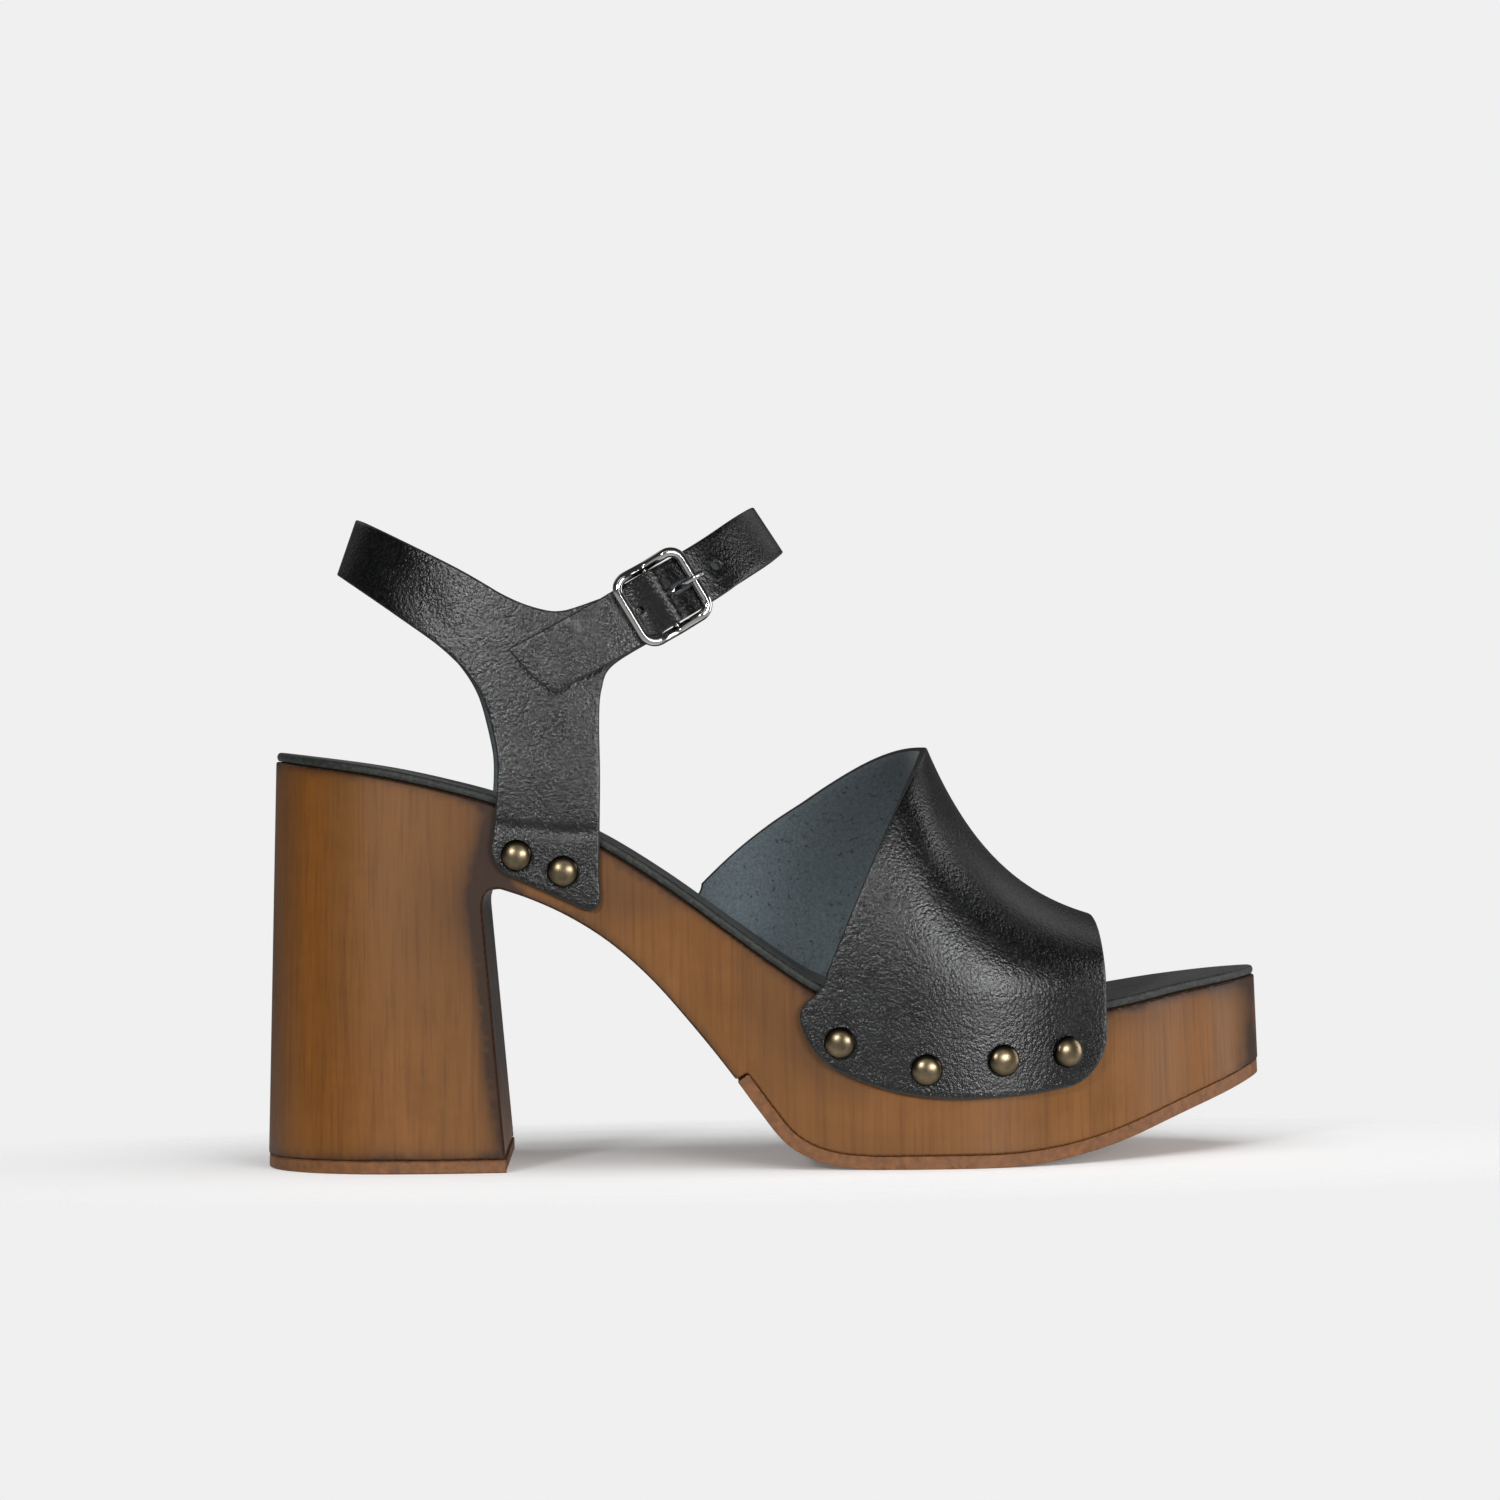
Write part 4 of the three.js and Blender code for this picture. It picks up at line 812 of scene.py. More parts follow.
def block_piece(base, name, top, bottom, inset, radius, materials):
    """A block between two chains of the side view, with the platform's plan outline and
    rounded edges. Its edge_distance tells how far each point is from an edge, in mm."""
    unit = np.linalg.norm(base.outline[1] - base.outline[0])
    chains = [Chain(bottom), Chain(top)]
    lines = [wall_line(base, chain) for chain in chains]
    low, high = (np.column_stack([line[:, 0] * unit, line[:, 1]]) for line in lines)
    l_count, h_count = len(low), len(high)
    whole = top[0][0] < HEEL_BACK and top[-1][0] > base.at(1)
    if whole:
        rise = np.arange(low[0, 1] + STEP, high[0, 1] - STEP / 2, STEP)
        left = np.column_stack([np.full(len(rise), low[0, 0]), rise])
        right = np.column_stack([np.full(len(rise), low[-1, 0]), rise])
        loop = np.vstack([low, right, high[::-1], left[::-1]])
        high_names = [l_count + len(rise) + h_count - 1 - k for k in range(h_count)]
        real = [low, high]
    else:
        loop = np.vstack([low, high[-2:0:-1]])
        high_names = [0] + [l_count + h_count - 2 - k for k in range(1, h_count - 1)]
        high_names.append(l_count - 1)
        real = [np.vstack([loop, loop[:1]])]
    gaps = [radius * share for share in ROUNDING]
    extra = np.vstack(inward_rings(loop, gaps, ROUNDING_STEP))
    if whole:
        extra = extra[(extra[:, 0] > 0.5) & (extra[:, 0] < low[-1, 0] - 0.5)]
    free = inner_points([loop], GRID, radius + WALL_ROOM, extra)
    flat, faces = fill([loop], free)
    gap = distance_to(flat, real)
    pull = radius - np.sqrt(np.maximum(radius ** 2 - np.maximum(radius - gap, 0) ** 2, 0))
    points = [base.on_ring(u / unit, z, inset + p) for (u, z), p in zip(flat, pull)]
    marks = list(gap)
    for chain, line, names in zip(chains, lines, (list(range(l_count)), high_names)):
        rim = np.array([points[i] for i in names])
        s = line[:, 2] + (rim[:, 0] - chain.at(line[:, 2])[0]) * np.interp(
            line[:, 2], chain.along, chain.grade)
        outline = np.column_stack([s, rim[:, 1]])
        if whole:
            outline, names = outline[:-1], names[:-1]
        else:
            width = outline[0, 1] - outline[-1, 1]
            count = max(2, int(abs(width) / GRID))
            share = np.arange(1, count)[:, None] / count
            outline = np.vstack([outline, outline[-1] + share * (outline[0] - outline[-1])])
        cap, cap_faces = fill([outline], inner_points([outline], CAP_GRID, CAP_ROOM))
        added = cap[len(names):]
        x, z = chain.at(added[:, 0])
        names = list(names) + list(range(len(points), len(points) + len(added)))
        points += [np.array(p) for p in zip(x, added[:, 1], z)]
        marks += [FAR_FROM_EDGE] * len(added)
        faces += [[names[i] for i in face] for face in cap_faces]
    obj = new_object(name, points, faces, materials)
    set_attribute(obj, "edge_distance", marks)
    face_outwards(obj)
    obj.data.set_sharp_from_angle(angle=SHARP)
    return obj


GRAIN, FLESH, EDGE = 0, 1, 2  # which of a leather piece's materials a face has
CORNER_TURNS = np.radians([30, 60, 90])


def thicken(name, points, normals, faces, walls, radius, raised):
    """A leather piece from its inner face: an outer face a wall away, raised by any creases,
    and an edge between them with rounded corners."""
    count = len(points)
    directed = {}
    for a, b, c in faces:
        for edge in ((a, b), (b, c), (c, a)):
            directed[edge] = True
    following = {a: b for a, b in directed if (b, a) not in directed}
    loops = []
    while following:
        start = next(iter(following))
        loop = [start]
        while following[loop[-1]] != start:
            loop.append(following.pop(loop[-1]))
        following.pop(loop[-1])
        loops.append(loop)
    verts = [*points, *(points + normals * walls[:, None] + normals * raised[:, None])]
    all_faces = [[a, c, b] for a, b, c in faces]
    all_faces += [[a + count, b + count, c + count] for a, b, c in faces]
    kinds = [FLESH] * len(faces) + [GRAIN] * len(faces)
    # The edge's rows: how far out and up from the face, and whether that is the outer one
    profile = [(math.sin(t) - 1, -1 + math.cos(t), 1) for t in CORNER_TURNS]
    profile += [(math.sin(t) - 1, 1 - math.cos(t), 0) for t in CORNER_TURNS[::-1]]
    for loop in loops:
        outward = unit_rows(np.cross(way_round(points[loop]), normals[loop]))
        rings = [[i + count for i in loop]]
        wall = walls[loop]
        for i, out in zip(loop, outward):
            verts[i] = points[i] - out * radius
            verts[i + count] = verts[i + count] - out * radius
        for out_by, up_by, outer in profile:
            ring = []
            for k, i in enumerate(loop):
                lift = wall[k] * outer + radius * up_by + raised[i] * outer
                ring.append(len(verts))
                verts.append(points[i] + outward[k] * radius * out_by + normals[i] * lift)
            rings.append(ring)
        rings.append(list(loop))
        n = len(loop)
        for row, (a, b) in enumerate(zip(rings, rings[1:])):
            for k in range(n):
                j = (k + 1) % n
                all_faces.append([a[k], b[k], b[j], a[j]])
                kinds.append(GRAIN if row < 1 else (FLESH if row > len(rings) - 3 else EDGE))
    return new_object(name, verts, all_faces, [upper_leather(), flesh_side(), cut_edge()], kinds)


class Vamp:
    """The vamp's inner face over the forefoot, by side, place along it and turn up it."""

    # The front edge, the peak and the rear edge's start at the footbed, as shares of the
    # length, and how far the rear edge bows
    FRONT, PEAK = 0.8214, 0.6505
    REAR_START = {LATERAL: 0.5435, MEDIAL: 0.423}
    REAR_BOW = {LATERAL: 1.2, MEDIAL: 1.58}
    # The ridge over the platform: its rise at the peak, the rise it falls towards, the length
    # over which it falls, and its shift to the inner side; behind the peak, the length over
    # which it settles, and its slope there
    THROAT_RISE, RIDGE_FLOOR, RIDGE_FALL, RIDGE_SHIFT = 62.0, 15.0, 19.1, 3.0
    RIDGE_SETTLE, RIDGE_BACK_SLOPE = 8.0, 1.1
    # The flaps: where the section turns down, their depth and sag, and how far they reach
    # back, as a share of the length, once they are FLAP_TURN deep
    HIP_RISE, FLAP_DROP, FLAP_SAG, FLAP_BACK, FLAP_TURN = 3.0, 19.0, 2.2, 0.026, 13.0
    CORNERS = ((9.0, 9.5), (8.0, 7.0))  # length and height of the front and the rear one
    POWER = 2 / 2.2  # of the section's oval
    SECTION = 62.0  # what b runs over from the hip to the ridge

    def __init__(self, base):
        self.base = base
        self.front = base.at(self.FRONT)
        self.peak = base.at(self.PEAK)
        self.turns = np.linspace(0, 1, 201)
        self.rears = {
            side: np.array([self._rear(side, turn) for turn in self.turns])
            for side in (LATERAL, MEDIAL)
        }

    def ridge(self, x):
        """Height of the inner face's crest."""
        drop = self.THROAT_RISE - self.RIDGE_FLOOR
        level = self.base.platform + self.RIDGE_FLOOR - sizes().vamp_wall / MM
        if x >= self.peak:
            return level + drop * math.exp((self.peak - x) / self.RIDGE_FALL)
        behind = self.peak - x
        extra = (drop / self.RIDGE_FALL - self.RIDGE_BACK_SLOPE) * self.RIDGE_SETTLE
        return (level + drop + self.RIDGE_BACK_SLOPE * behind
                + extra * (1 - math.exp(-behind / self.RIDGE_SETTLE)))

    def hip(self, x):
        return float(self.base.top(x)) + self.HIP_RISE

    def section(self, side, turn, x):
        """A point of the oval section at x, from the hip at turn 0 to the ridge at 1."""
        angle = turn * math.pi / 2
        hip = self.hip(x)
        edge = self.base.wall_y(side, x, hip) + side * SNUG
        y = mix(self.RIDGE_SHIFT, edge, max(math.cos(angle), 0) ** self.POWER)
        return np.array([x, y, mix(hip, self.ridge(x), math.sin(angle) ** self.POWER)])

    def _rear(self, side, turn):
        """Where the bowed rear edge cuts a line of equal turn, in x."""
        low, high = self.base.at(self.REAR_START[side]), self.peak
        start = low
        rise = self.ridge(self.peak) - float(self.base.top(self.peak))
        for _ in range(40):
            x = (low + high) / 2
            t = min(max((x - start) / (self.peak - start), 0), 1)
            edge = float(self.base.top(x)) + rise * (1 - (1 - t) ** self.REAR_BOW[side])
            if self.section(side, turn, x)[2] > edge:
                low = x
            else:
                high = x
        return (low + high) / 2

    def reach(self, side, depth):
        """Where a flap's rear edge lies at a depth below the hip, in x."""
        turn_back = self.FLAP_BACK * self.base.length * smoothstep(0, self.FLAP_TURN, depth)
        return self.rears[side][0] - turn_back

    def width(self, side):
        return self.front - self.reach(side, self.FLAP_TURN)

    def drop(self, side, v):
        """Depth of a flap's lower edge below the hip, less in its rounded corners."""
        wide = self.width(side)
        rise = 0
        for distance, (long, high) in zip((v * wide, (1 - v) * wide), self.CORNERS):
            if distance < long:
                rise += high * (1 - math.sqrt(max(1 - (1 - distance / long) ** 2, 0)))
        return self.HIP_RISE + self.FLAP_DROP - self.FLAP_SAG * (2 * v - 1) ** 2 - rise

    def point(self, v, b):
        """A point of the inner face. b runs over the section: below 0 down the outer flap,
        0 to SECTION from hip to ridge, on to 2 SECTION, and beyond it down the inner flap."""
        side = LATERAL if b <= self.SECTION else MEDIAL
        up = b if side == LATERAL else 2 * self.SECTION - b
        if up >= 0:
            turn = up / self.SECTION
            rear = np.interp(turn, self.turns, self.rears[side])
            return self.section(side, turn, mix(self.front, rear, v))
        depth = -up
        x = mix(self.front, float(self.reach(side, depth)), v)
        z = self.hip(x) - depth
        return np.array([x, self.base.wall_y(side, x, z) + side * SNUG, z])

    def outline(self):
        """The vamp's edge in v and b, scaled to about a millimetre a step."""
        shares = (1 - np.cos(np.linspace(0, math.pi, 121))) / 2
        low = [(v, -self.drop(LATERAL, v)) for v in shares]
        high = [(v, 2 * self.SECTION + self.drop(MEDIAL, v)) for v in shares[::-1]]
        return np.array(low + high)


def mesh_normals(points, faces, outward):
    """Normals at the points of a patch of triangles, and its faces, turned outward."""
    corners = points[np.asarray(faces)]
    flat = np.cross(corners[:, 1] - corners[:, 0], corners[:, 2] - corners[:, 0])
    middles = corners.mean(axis=1)
    if (flat * np.array([outward(p) for p in middles])).sum() < 0:
        faces, flat = [face[::-1] for face in faces], -flat
    normals = np.zeros_like(points)
    for k in range(3):
        np.add.at(normals, np.asarray(faces)[:, k], flat)
    return unit_rows(normals), faces


def trough(points, creases):
    """Height of soft creases at points of the side view: each is a fold line from one end
    to the other, with its width and its depth (a ridge where that is negative)."""
    total = np.zeros(len(points))
    for x0, z0, x1, z1, width, depth in creases:
        a, b = np.array([x0, z0]), np.array([x1, z1])
        step = b - a
        t = np.clip(((points - a) @ step) / (step @ step), 0, 1)
        far = np.linalg.norm(points - (a + t[:, None] * step), axis=1)
        fade = np.sin(np.pi * np.clip(t * 0.8 + 0.1, 0, 1)) ** 0.6
        total -= depth * fade * np.exp(-(far / width) ** 2)
    return total


# Leather pieces: step along the edge; grid inside it and room between the two; edge radius
RIM_STEP = 0.7
VAMP_MESH, VAMP_EDGE = (1.0, 1.05), 0.5
STRAP_MESH, STRAP_EDGE = (0.95, 1.0), 0.42
VAMP_SCALE = 78.0  # about its length, so that the vamp keeps its shape when laid out flat


def make_vamp(base):
    form = Vamp(base)
    wall = sizes().vamp_wall / MM

    def position(a, b):
        return form.point(min(max(a / VAMP_SCALE, 0), 1), b)

    loop = resample(form.outline() * [VAMP_SCALE, 1], RIM_STEP, closed=True)
    places, faces = fill([loop], inner_points([loop], *VAMP_MESH))
    points = np.array([position(a, b) for a, b in places])

    def outward(p):
        return np.array([0, p[1] - form.RIDGE_SHIFT, p[2] - float(base.top(p[0])) + 1])

    normals, faces = mesh_normals(points, faces, outward)
    flat = np.zeros(len(points))
    return thicken("vamp_leather", points, normals, faces, flat + wall, VAMP_EDGE, flat)


# Ankle strap

# Heights of the strap's edges are given as shares of a rise over a seat
ANKLE_SEAT, ANKLE_RISE = 82.0, 70.0
# The loop: half its breadth, its spread lower down, its ends at one level as shares of the
# length, their lean with height, its oval's power, and the rise over which a tab goes from
# the platform's wall to it
LOOP_HALF, LOOP_SPREAD, LOOP_LEVEL = 27.5, 0.055, 145.0
LOOP_BACK, LOOP_FRONT = 0.0831, 0.4988
LEAN_BACK, LEAN_FRONT = 0.36, -0.64
OVAL_POWER, TAB_BLEND = 2.3, 16.0
STRAP_WIDTH, ARM_INSET = 13.5, 0.5
# How high the strap lies on its own end, its hump over the bar with the hump's width, and
# how far before the bar it is fully up and starts to rise
LAP, HUMP, HUMP_WIDTH, LAP_FULL, LAP_START = 2.1, 3.3, 3.6, 10.0, 30.0
# Turns round the loop, from its front over the lateral side, between which the wall thins
FRONT_SEAM = math.radians(341)
THIN_FROM = math.radians(400)
TAB_CORNER, TAIL_BULGE = 5.0, 0.8
MEDIAL_SET_BACK, MEDIAL_LIFT_LOW, MEDIAL_LIFT_TOP = 3.0, 3.0, 1.0
STRAP_TILT = 0.58
RING_LEVEL = 125.0  # height at which lengths round the loop are taken
MEDIAL_FADE = (0.3, 0.8)  # shares of the ankle rise over which the medial tab's set-back ends
NOTCH_ROOM, HOLE_RADIUS = 1.4, 0.9

# Edges in the side view: share of the length, and of the ankle rise over its seat
QUARTER_REAR = [
    (0.2206, -0.13), (0.2277, 0.109), (0.2253, 0.239), (0.2118, 0.396),
    (0.1798, 0.525), (0.1305, 0.65), (0.0689, 0.796),
]
QUARTER_TOP = [
    (0.0841, 0.988), (0.1435, 0.886), (0.1885, 0.807), (0.2128, 0.76), (0.2338, 0.717),
    (0.2548, 0.683), (0.2757, 0.661), (0.2904, 0.656), (0.3073, 0.668), (0.348, 0.715),
]
QUARTER_FRONT = [
    (0.3266, -0.2), (0.3286, 0.104), (0.3286, 0.3), (0.3315, 0.4), (0.3424, 0.475),
    (0.386, 0.562),
]
STRAP_TOP = [
    (0.2415, 0.533), (0.2839, 0.608), (0.3263, 0.684), (0.3475, 0.725), (0.4156, 0.853),
    (0.461, 0.954), (0.4829, 1.001),
]
STRAP_LOW = [
    (0.2851, 0.386), (0.3167, 0.44), (0.3465, 0.492), (0.3699, 0.536), (0.4434, 0.684),
    (0.4701, 0.747), (0.5165, 0.857),
]
TAB_FOOT = [(0.2205, -0.178), (0.3275, -0.342)]
BUCKLE = {"along": 0.3895, "rise": 0.69, "long": 19.2, "wide": 18.8, "corner": 4.2,
          "bar_lift": 2.3, "end_lift": 5.1, "bar": 1.9}
FRAME_DIP, SLEEVE_WALL = 0.72, 1.15
PRONG_WIRE, PRONG_REACH = 1.3, 9.9
PRONG_SLOT = PRONG_WIRE + 2 * SEAM + 0.6
HOLE_FROM, HOLE_TO = 2.4, 7.6


def even_spline(points, count):
    """A smooth curve through points of the side view, which gives each step the same time."""
    p = np.asarray(points, float)
    last = len(p) - 1
    out = []
    for k in range(count + 1):
        place = min(k / count * last, last - 1e-9)
        i, t = int(place), place - int(place)
        p0, p1, p2, p3 = p[max(i - 1, 0)], p[i], p[i + 1], p[min(i + 2, last)]
        out.append(on_step(p1, p2 - p1, (p2 - p0) / 2, (p3 - p1) / 2, t))
    return np.array(out)


def carried_on(points, far):
    step = points[-1] - points[-2]
    return np.vstack([points, points[-1] + step / np.linalg.norm(step) * far])


class Ankle:
    """The hollow form round the ankle that carries the strap, and the strap's own edges."""

    def __init__(self, base):
        self.base = base
        self.thick = sizes().quarter_wall / MM
        self.thin = sizes().strap_wall / MM
        back, front = self.ends(LOOP_LEVEL)
        self.mid, self.half = (back + front) / 2, (front - back) / 2
        angles = np.linspace(0, 2 * math.pi, 721)
        self.ring_angles = angles
        self.ring_length = lengths_along(np.array([self.form(a, RING_LEVEL) for a in angles]))
        self.round = self.ring_length[-1]
        x, z = self.edge((BUCKLE["along"], BUCKLE["rise"]))
        self.bar = np.array([x, z])
        origin = self.on_form(x, z)
        near_x = self.on_form(x + 1, z) - origin
        near_z = self.on_form(x, z + 1) - origin
        along = near_x + STRAP_TILT * near_z
        self.origin, self.s = origin, along / np.linalg.norm(along)
        out = np.cross(near_x, near_z)
        out /= np.linalg.norm(out)
        self.h = out if out[1] < 0 else -out
        self.w = np.cross(self.h, self.s)

    def edge(self, row):
        return np.array([self.base.at(row[0]), ANKLE_SEAT + row[1] * ANKLE_RISE])

    def ends(self, z):
        return (self.base.at(LOOP_BACK) + LEAN_BACK * (z - LOOP_LEVEL),
                self.base.at(LOOP_FRONT) + LEAN_FRONT * (z - LOOP_LEVEL))

    def form(self, angle, z):
        back, front = self.ends(z)
        power = 2 / OVAL_POWER
        c, s = math.cos(angle), -math.sin(angle)
        side = 1 if s >= 0 else -1
        x = (back + front) / 2 + (front - back) / 2 * math.copysign(abs(c) ** power, c)
        wide = LOOP_HALF + LOOP_SPREAD * (ANKLE_SEAT + ANKLE_RISE - z)
        free = side * wide * abs(s) ** power
        if abs(c) < 0.8:
            low = float(self.base.top(x))
            on_wall = 1 - smoothstep(low, low + TAB_BLEND, z)
            if on_wall > 0:
                free = mix(free, self.base.wall_y(side, x, z) + side * SNUG, on_wall)
        return np.array([x, free, z])

    def angle_at(self, side, x, z):
        """Angle of a side-view point on the form, or None where it lies past its ends."""
        back, front = self.ends(z)
        q = (x - (back + front) / 2) / ((front - back) / 2)
        if abs(q) > 1:
            return None
        angle = math.acos(math.copysign(abs(q) ** (OVAL_POWER / 2), q))
        return angle if side == LATERAL else 2 * math.pi - angle

    def on_form(self, x, z):
        return self.form(self.angle_at(LATERAL, x, z), z)

    def length_at(self, angle):
        turns = math.floor(angle / (2 * math.pi))
        rest = angle - turns * 2 * math.pi
        return turns * self.round + float(np.interp(rest, self.ring_angles, self.ring_length))

    def angle_of(self, u):
        turns = math.floor(u / self.round)
        rest = u - turns * self.round
        return turns * 2 * math.pi + float(np.interp(rest, self.ring_length, self.ring_angles))

    def lift(self, angle, p):
        """Height of the strap over the form, and the leather's wall there."""
        wall = mix(self.thick, self.thin, float(smoothstep(FRONT_SEAM, THIN_FROM, angle)))
        if angle < 2 * math.pi:
            return 0.0, wall
        s = float((p - self.origin) @ self.s)
        lap = LAP * (1 - float(smoothstep(LAP_FULL, LAP_START, s)))
        return lap + HUMP * math.exp(-(s / HUMP_WIDTH) ** 2), wall

    def crossing(self, points, front):
        """Where an edge passes the form's back or front, as its height."""
        for (x0, z0), (x1, z1) in zip(points, points[1:]):
            e0 = self.ends(z0)[front] - x0
            e1 = self.ends(z1)[front] - x1
            if e0 * e1 <= 0 and e0 != e1:
                return z0 + (z1 - z0) * e0 / (e0 - e1)
        raise RuntimeError("an edge of the strap misses the loop's end")

    def laid(self, points, side, turn=0):
        """A side-view edge laid on the form, as lengths round it and heights."""
        rows = []
        for x, z in resample(points, 0.35):
            angle = self.angle_at(side, x, z)
            if angle is not None and 0.02 < angle % math.pi < math.pi - 0.02:
                rows.append((self.length_at(angle + turn * 2 * math.pi), z))
        return rows


def tab_foot(ankle):
    """The rounded lower end of a quarter's tab, from its front edge to its rear one."""
    rear, front = (ankle.edge(row) for row in TAB_FOOT)
    step = (rear - front) / np.linalg.norm(rear - front) * TAB_CORNER
    up = np.array([0, TAB_CORNER])
    t = np.linspace(0, 1, 9)[:, None]
    return np.vstack([bend(front + up, front, front + step, t),
                      bend(rear - step, rear, rear + up, t)])


def inner_side(ankle, points, rise):
    """An edge of the lateral side as it runs on the medial one: set back down at the tab and
    raised higher up."""
    low, high = (ANKLE_SEAT + share * ANKLE_RISE for share in MEDIAL_FADE)
    out = []
    for x, z in points:
        away = min(max(1 - ((x - ankle.mid) / ankle.half) ** 2, 0), 1)
        tab = 1 - float(smoothstep(low, high, z))
        out.append((x - MEDIAL_SET_BACK * tab, z + rise * away * (1 - tab)))
    return np.array(out)


def strap_outline(ankle):
    """The whole strap's edge on the form: from the lateral arm's end, round the back and
    the front, to the tail's end, and back along its top."""
    curve = {name: even_spline([ankle.edge(row) for row in rows], 60) for name, rows in (
        ("rear", QUARTER_REAR), ("top", QUARTER_TOP), ("front", QUARTER_FRONT),
        ("strap_top", STRAP_TOP), ("strap_low", STRAP_LOW))}
    rear = carried_on(curve["rear"], 4 * STRAP_WIDTH)
    top = carried_on(curve["top"][::-1], 4 * STRAP_WIDTH)[::-1]
    strap_top = carried_on(curve["strap_top"], 2 * STRAP_WIDTH)
    strap_low = carried_on(curve["strap_low"], 2 * STRAP_WIDTH)
    foot = tab_foot(ankle)
    front_up = curve["front"][curve["front"][:, 1] > foot[0, 1] + 1]
    rear_up = rear[rear[:, 1] > foot[-1, 1] + 1]
    across = np.array([-STRAP_TILT, 1]) / math.hypot(1, STRAP_TILT)
    half = STRAP_WIDTH / 2 - ARM_INSET
    arm_top, arm_low = ankle.bar + across * half, ankle.bar - across * half
    lay = ankle.laid
    out = lay(np.vstack([arm_low, front_up[::-1], foot, rear_up]), LATERAL)
    inner = inner_side(ankle, np.vstack([foot, rear_up]), MEDIAL_LIFT_LOW)
    back_low = (ankle.crossing(rear_up, 0) + ankle.crossing(inner, 0)) / 2
    out.append((ankle.round / 2, back_low))
    out += lay(inner, MEDIAL)[::-1]
    whole_front = np.vstack([front_up, strap_low[strap_low[:, 0] > front_up[-1, 0]]])
    low_inner = inner_side(ankle, whole_front, MEDIAL_LIFT_LOW)
    out += lay(low_inner, MEDIAL)
    out.append((ankle.round, (ankle.crossing(low_inner, 1) + ankle.crossing(strap_low, 1)) / 2))
    out += lay(strap_low, LATERAL, 1)[::-1]
    tail_top, tail_low = strap_top[0], strap_low[0]
    middle = (tail_top + tail_low) / 2
    way = (tail_low - tail_top) / np.linalg.norm(tail_low - tail_top)
    bow = middle + np.array([way[1], -way[0]]) * TAIL_BULGE
    t = np.linspace(0, 1, 15)[1:-1, None]
    out += lay(bend(tail_low, 2 * bow - middle, tail_top, t), LATERAL, 1)
    out += lay(strap_top, LATERAL, 1)
    whole_top = np.vstack([top, strap_top[strap_top[:, 0] > top[-1, 0]]])
    top_inner = inner_side(ankle, whole_top, MEDIAL_LIFT_TOP)
    out.append((ankle.round, (ankle.crossing(strap_top, 1) + ankle.crossing(top_inner, 1)) / 2))
    out += lay(top_inner, MEDIAL)[::-1]
    out.append((ankle.round / 2, (ankle.crossing(top_inner, 0) + ankle.crossing(top, 0)) / 2))
    out += lay(np.vstack([top[top[:, 0] < arm_top[0]], arm_top]), LATERAL)
    return np.array(out)


# Folds of the strap in the side view, in mm: ends, width, depth; first on its own layer
STRAP_CREASES = [
    (45.0, 131.2, 41.0, 127.6, 1.3, 0.35), (39.0, 126.6, 42.0, 122.4, 1.2, 0.3),
    (43.8, 127.0, 46.0, 123.0, 1.1, -0.2), (37.8, 120.5, 38.2, 114.6, 1.3, 0.22),
    (48.5, 127.5, 46.5, 121.5, 1.4, 0.18), (52.5, 130.5, 50.0, 124.0, 1.5, 0.15),
]
QUARTER_CREASES = [
    (53.2, 118.6, 46.2, 114.2, 1.1, 0.34), (53.0, 116.6, 45.6, 111.4, 1.1, 0.36),
    (52.6, 114.2, 46.0, 108.6, 1.1, 0.32), (52.2, 111.6, 47.2, 106.2, 1.2, 0.26),
    (51.8, 108.6, 48.2, 103.6, 1.3, 0.2), (25.8, 79.6, 33.0, 78.4, 1.2, 0.3),
    (31.0, 78.7, 44.0, 77.2, 1.2, 0.28), (42.0, 77.3, 51.4, 77.6, 1.2, 0.28),
    (10.0, 135.0, 18.0, 122.0, 3.0, 0.15), (3.0, 141.5, 8.0, 131.5, 2.6, 0.12),
]
STRAP_HOLES = [(-5.6, 0.0), (14.2, 0.0)]


def slot_loop(ankle, s, w, half_long, half_wide, count):
    """A round-ended slot in the strap's second turn, on the form."""
    out = []
    for t in np.linspace(0, 2 * math.pi, count, endpoint=False):
        straight = half_long - half_wide
        ds = half_wide * math.cos(t) + math.copysign(straight, math.cos(t))
        p = ankle.origin + ankle.s * (s + ds) + ankle.w * (w + half_wide * math.sin(t))
        angle = ankle.angle_at(LATERAL, p[0], p[2])
        out.append((ankle.length_at(angle + 2 * math.pi), p[2]))
    return np.array(out)


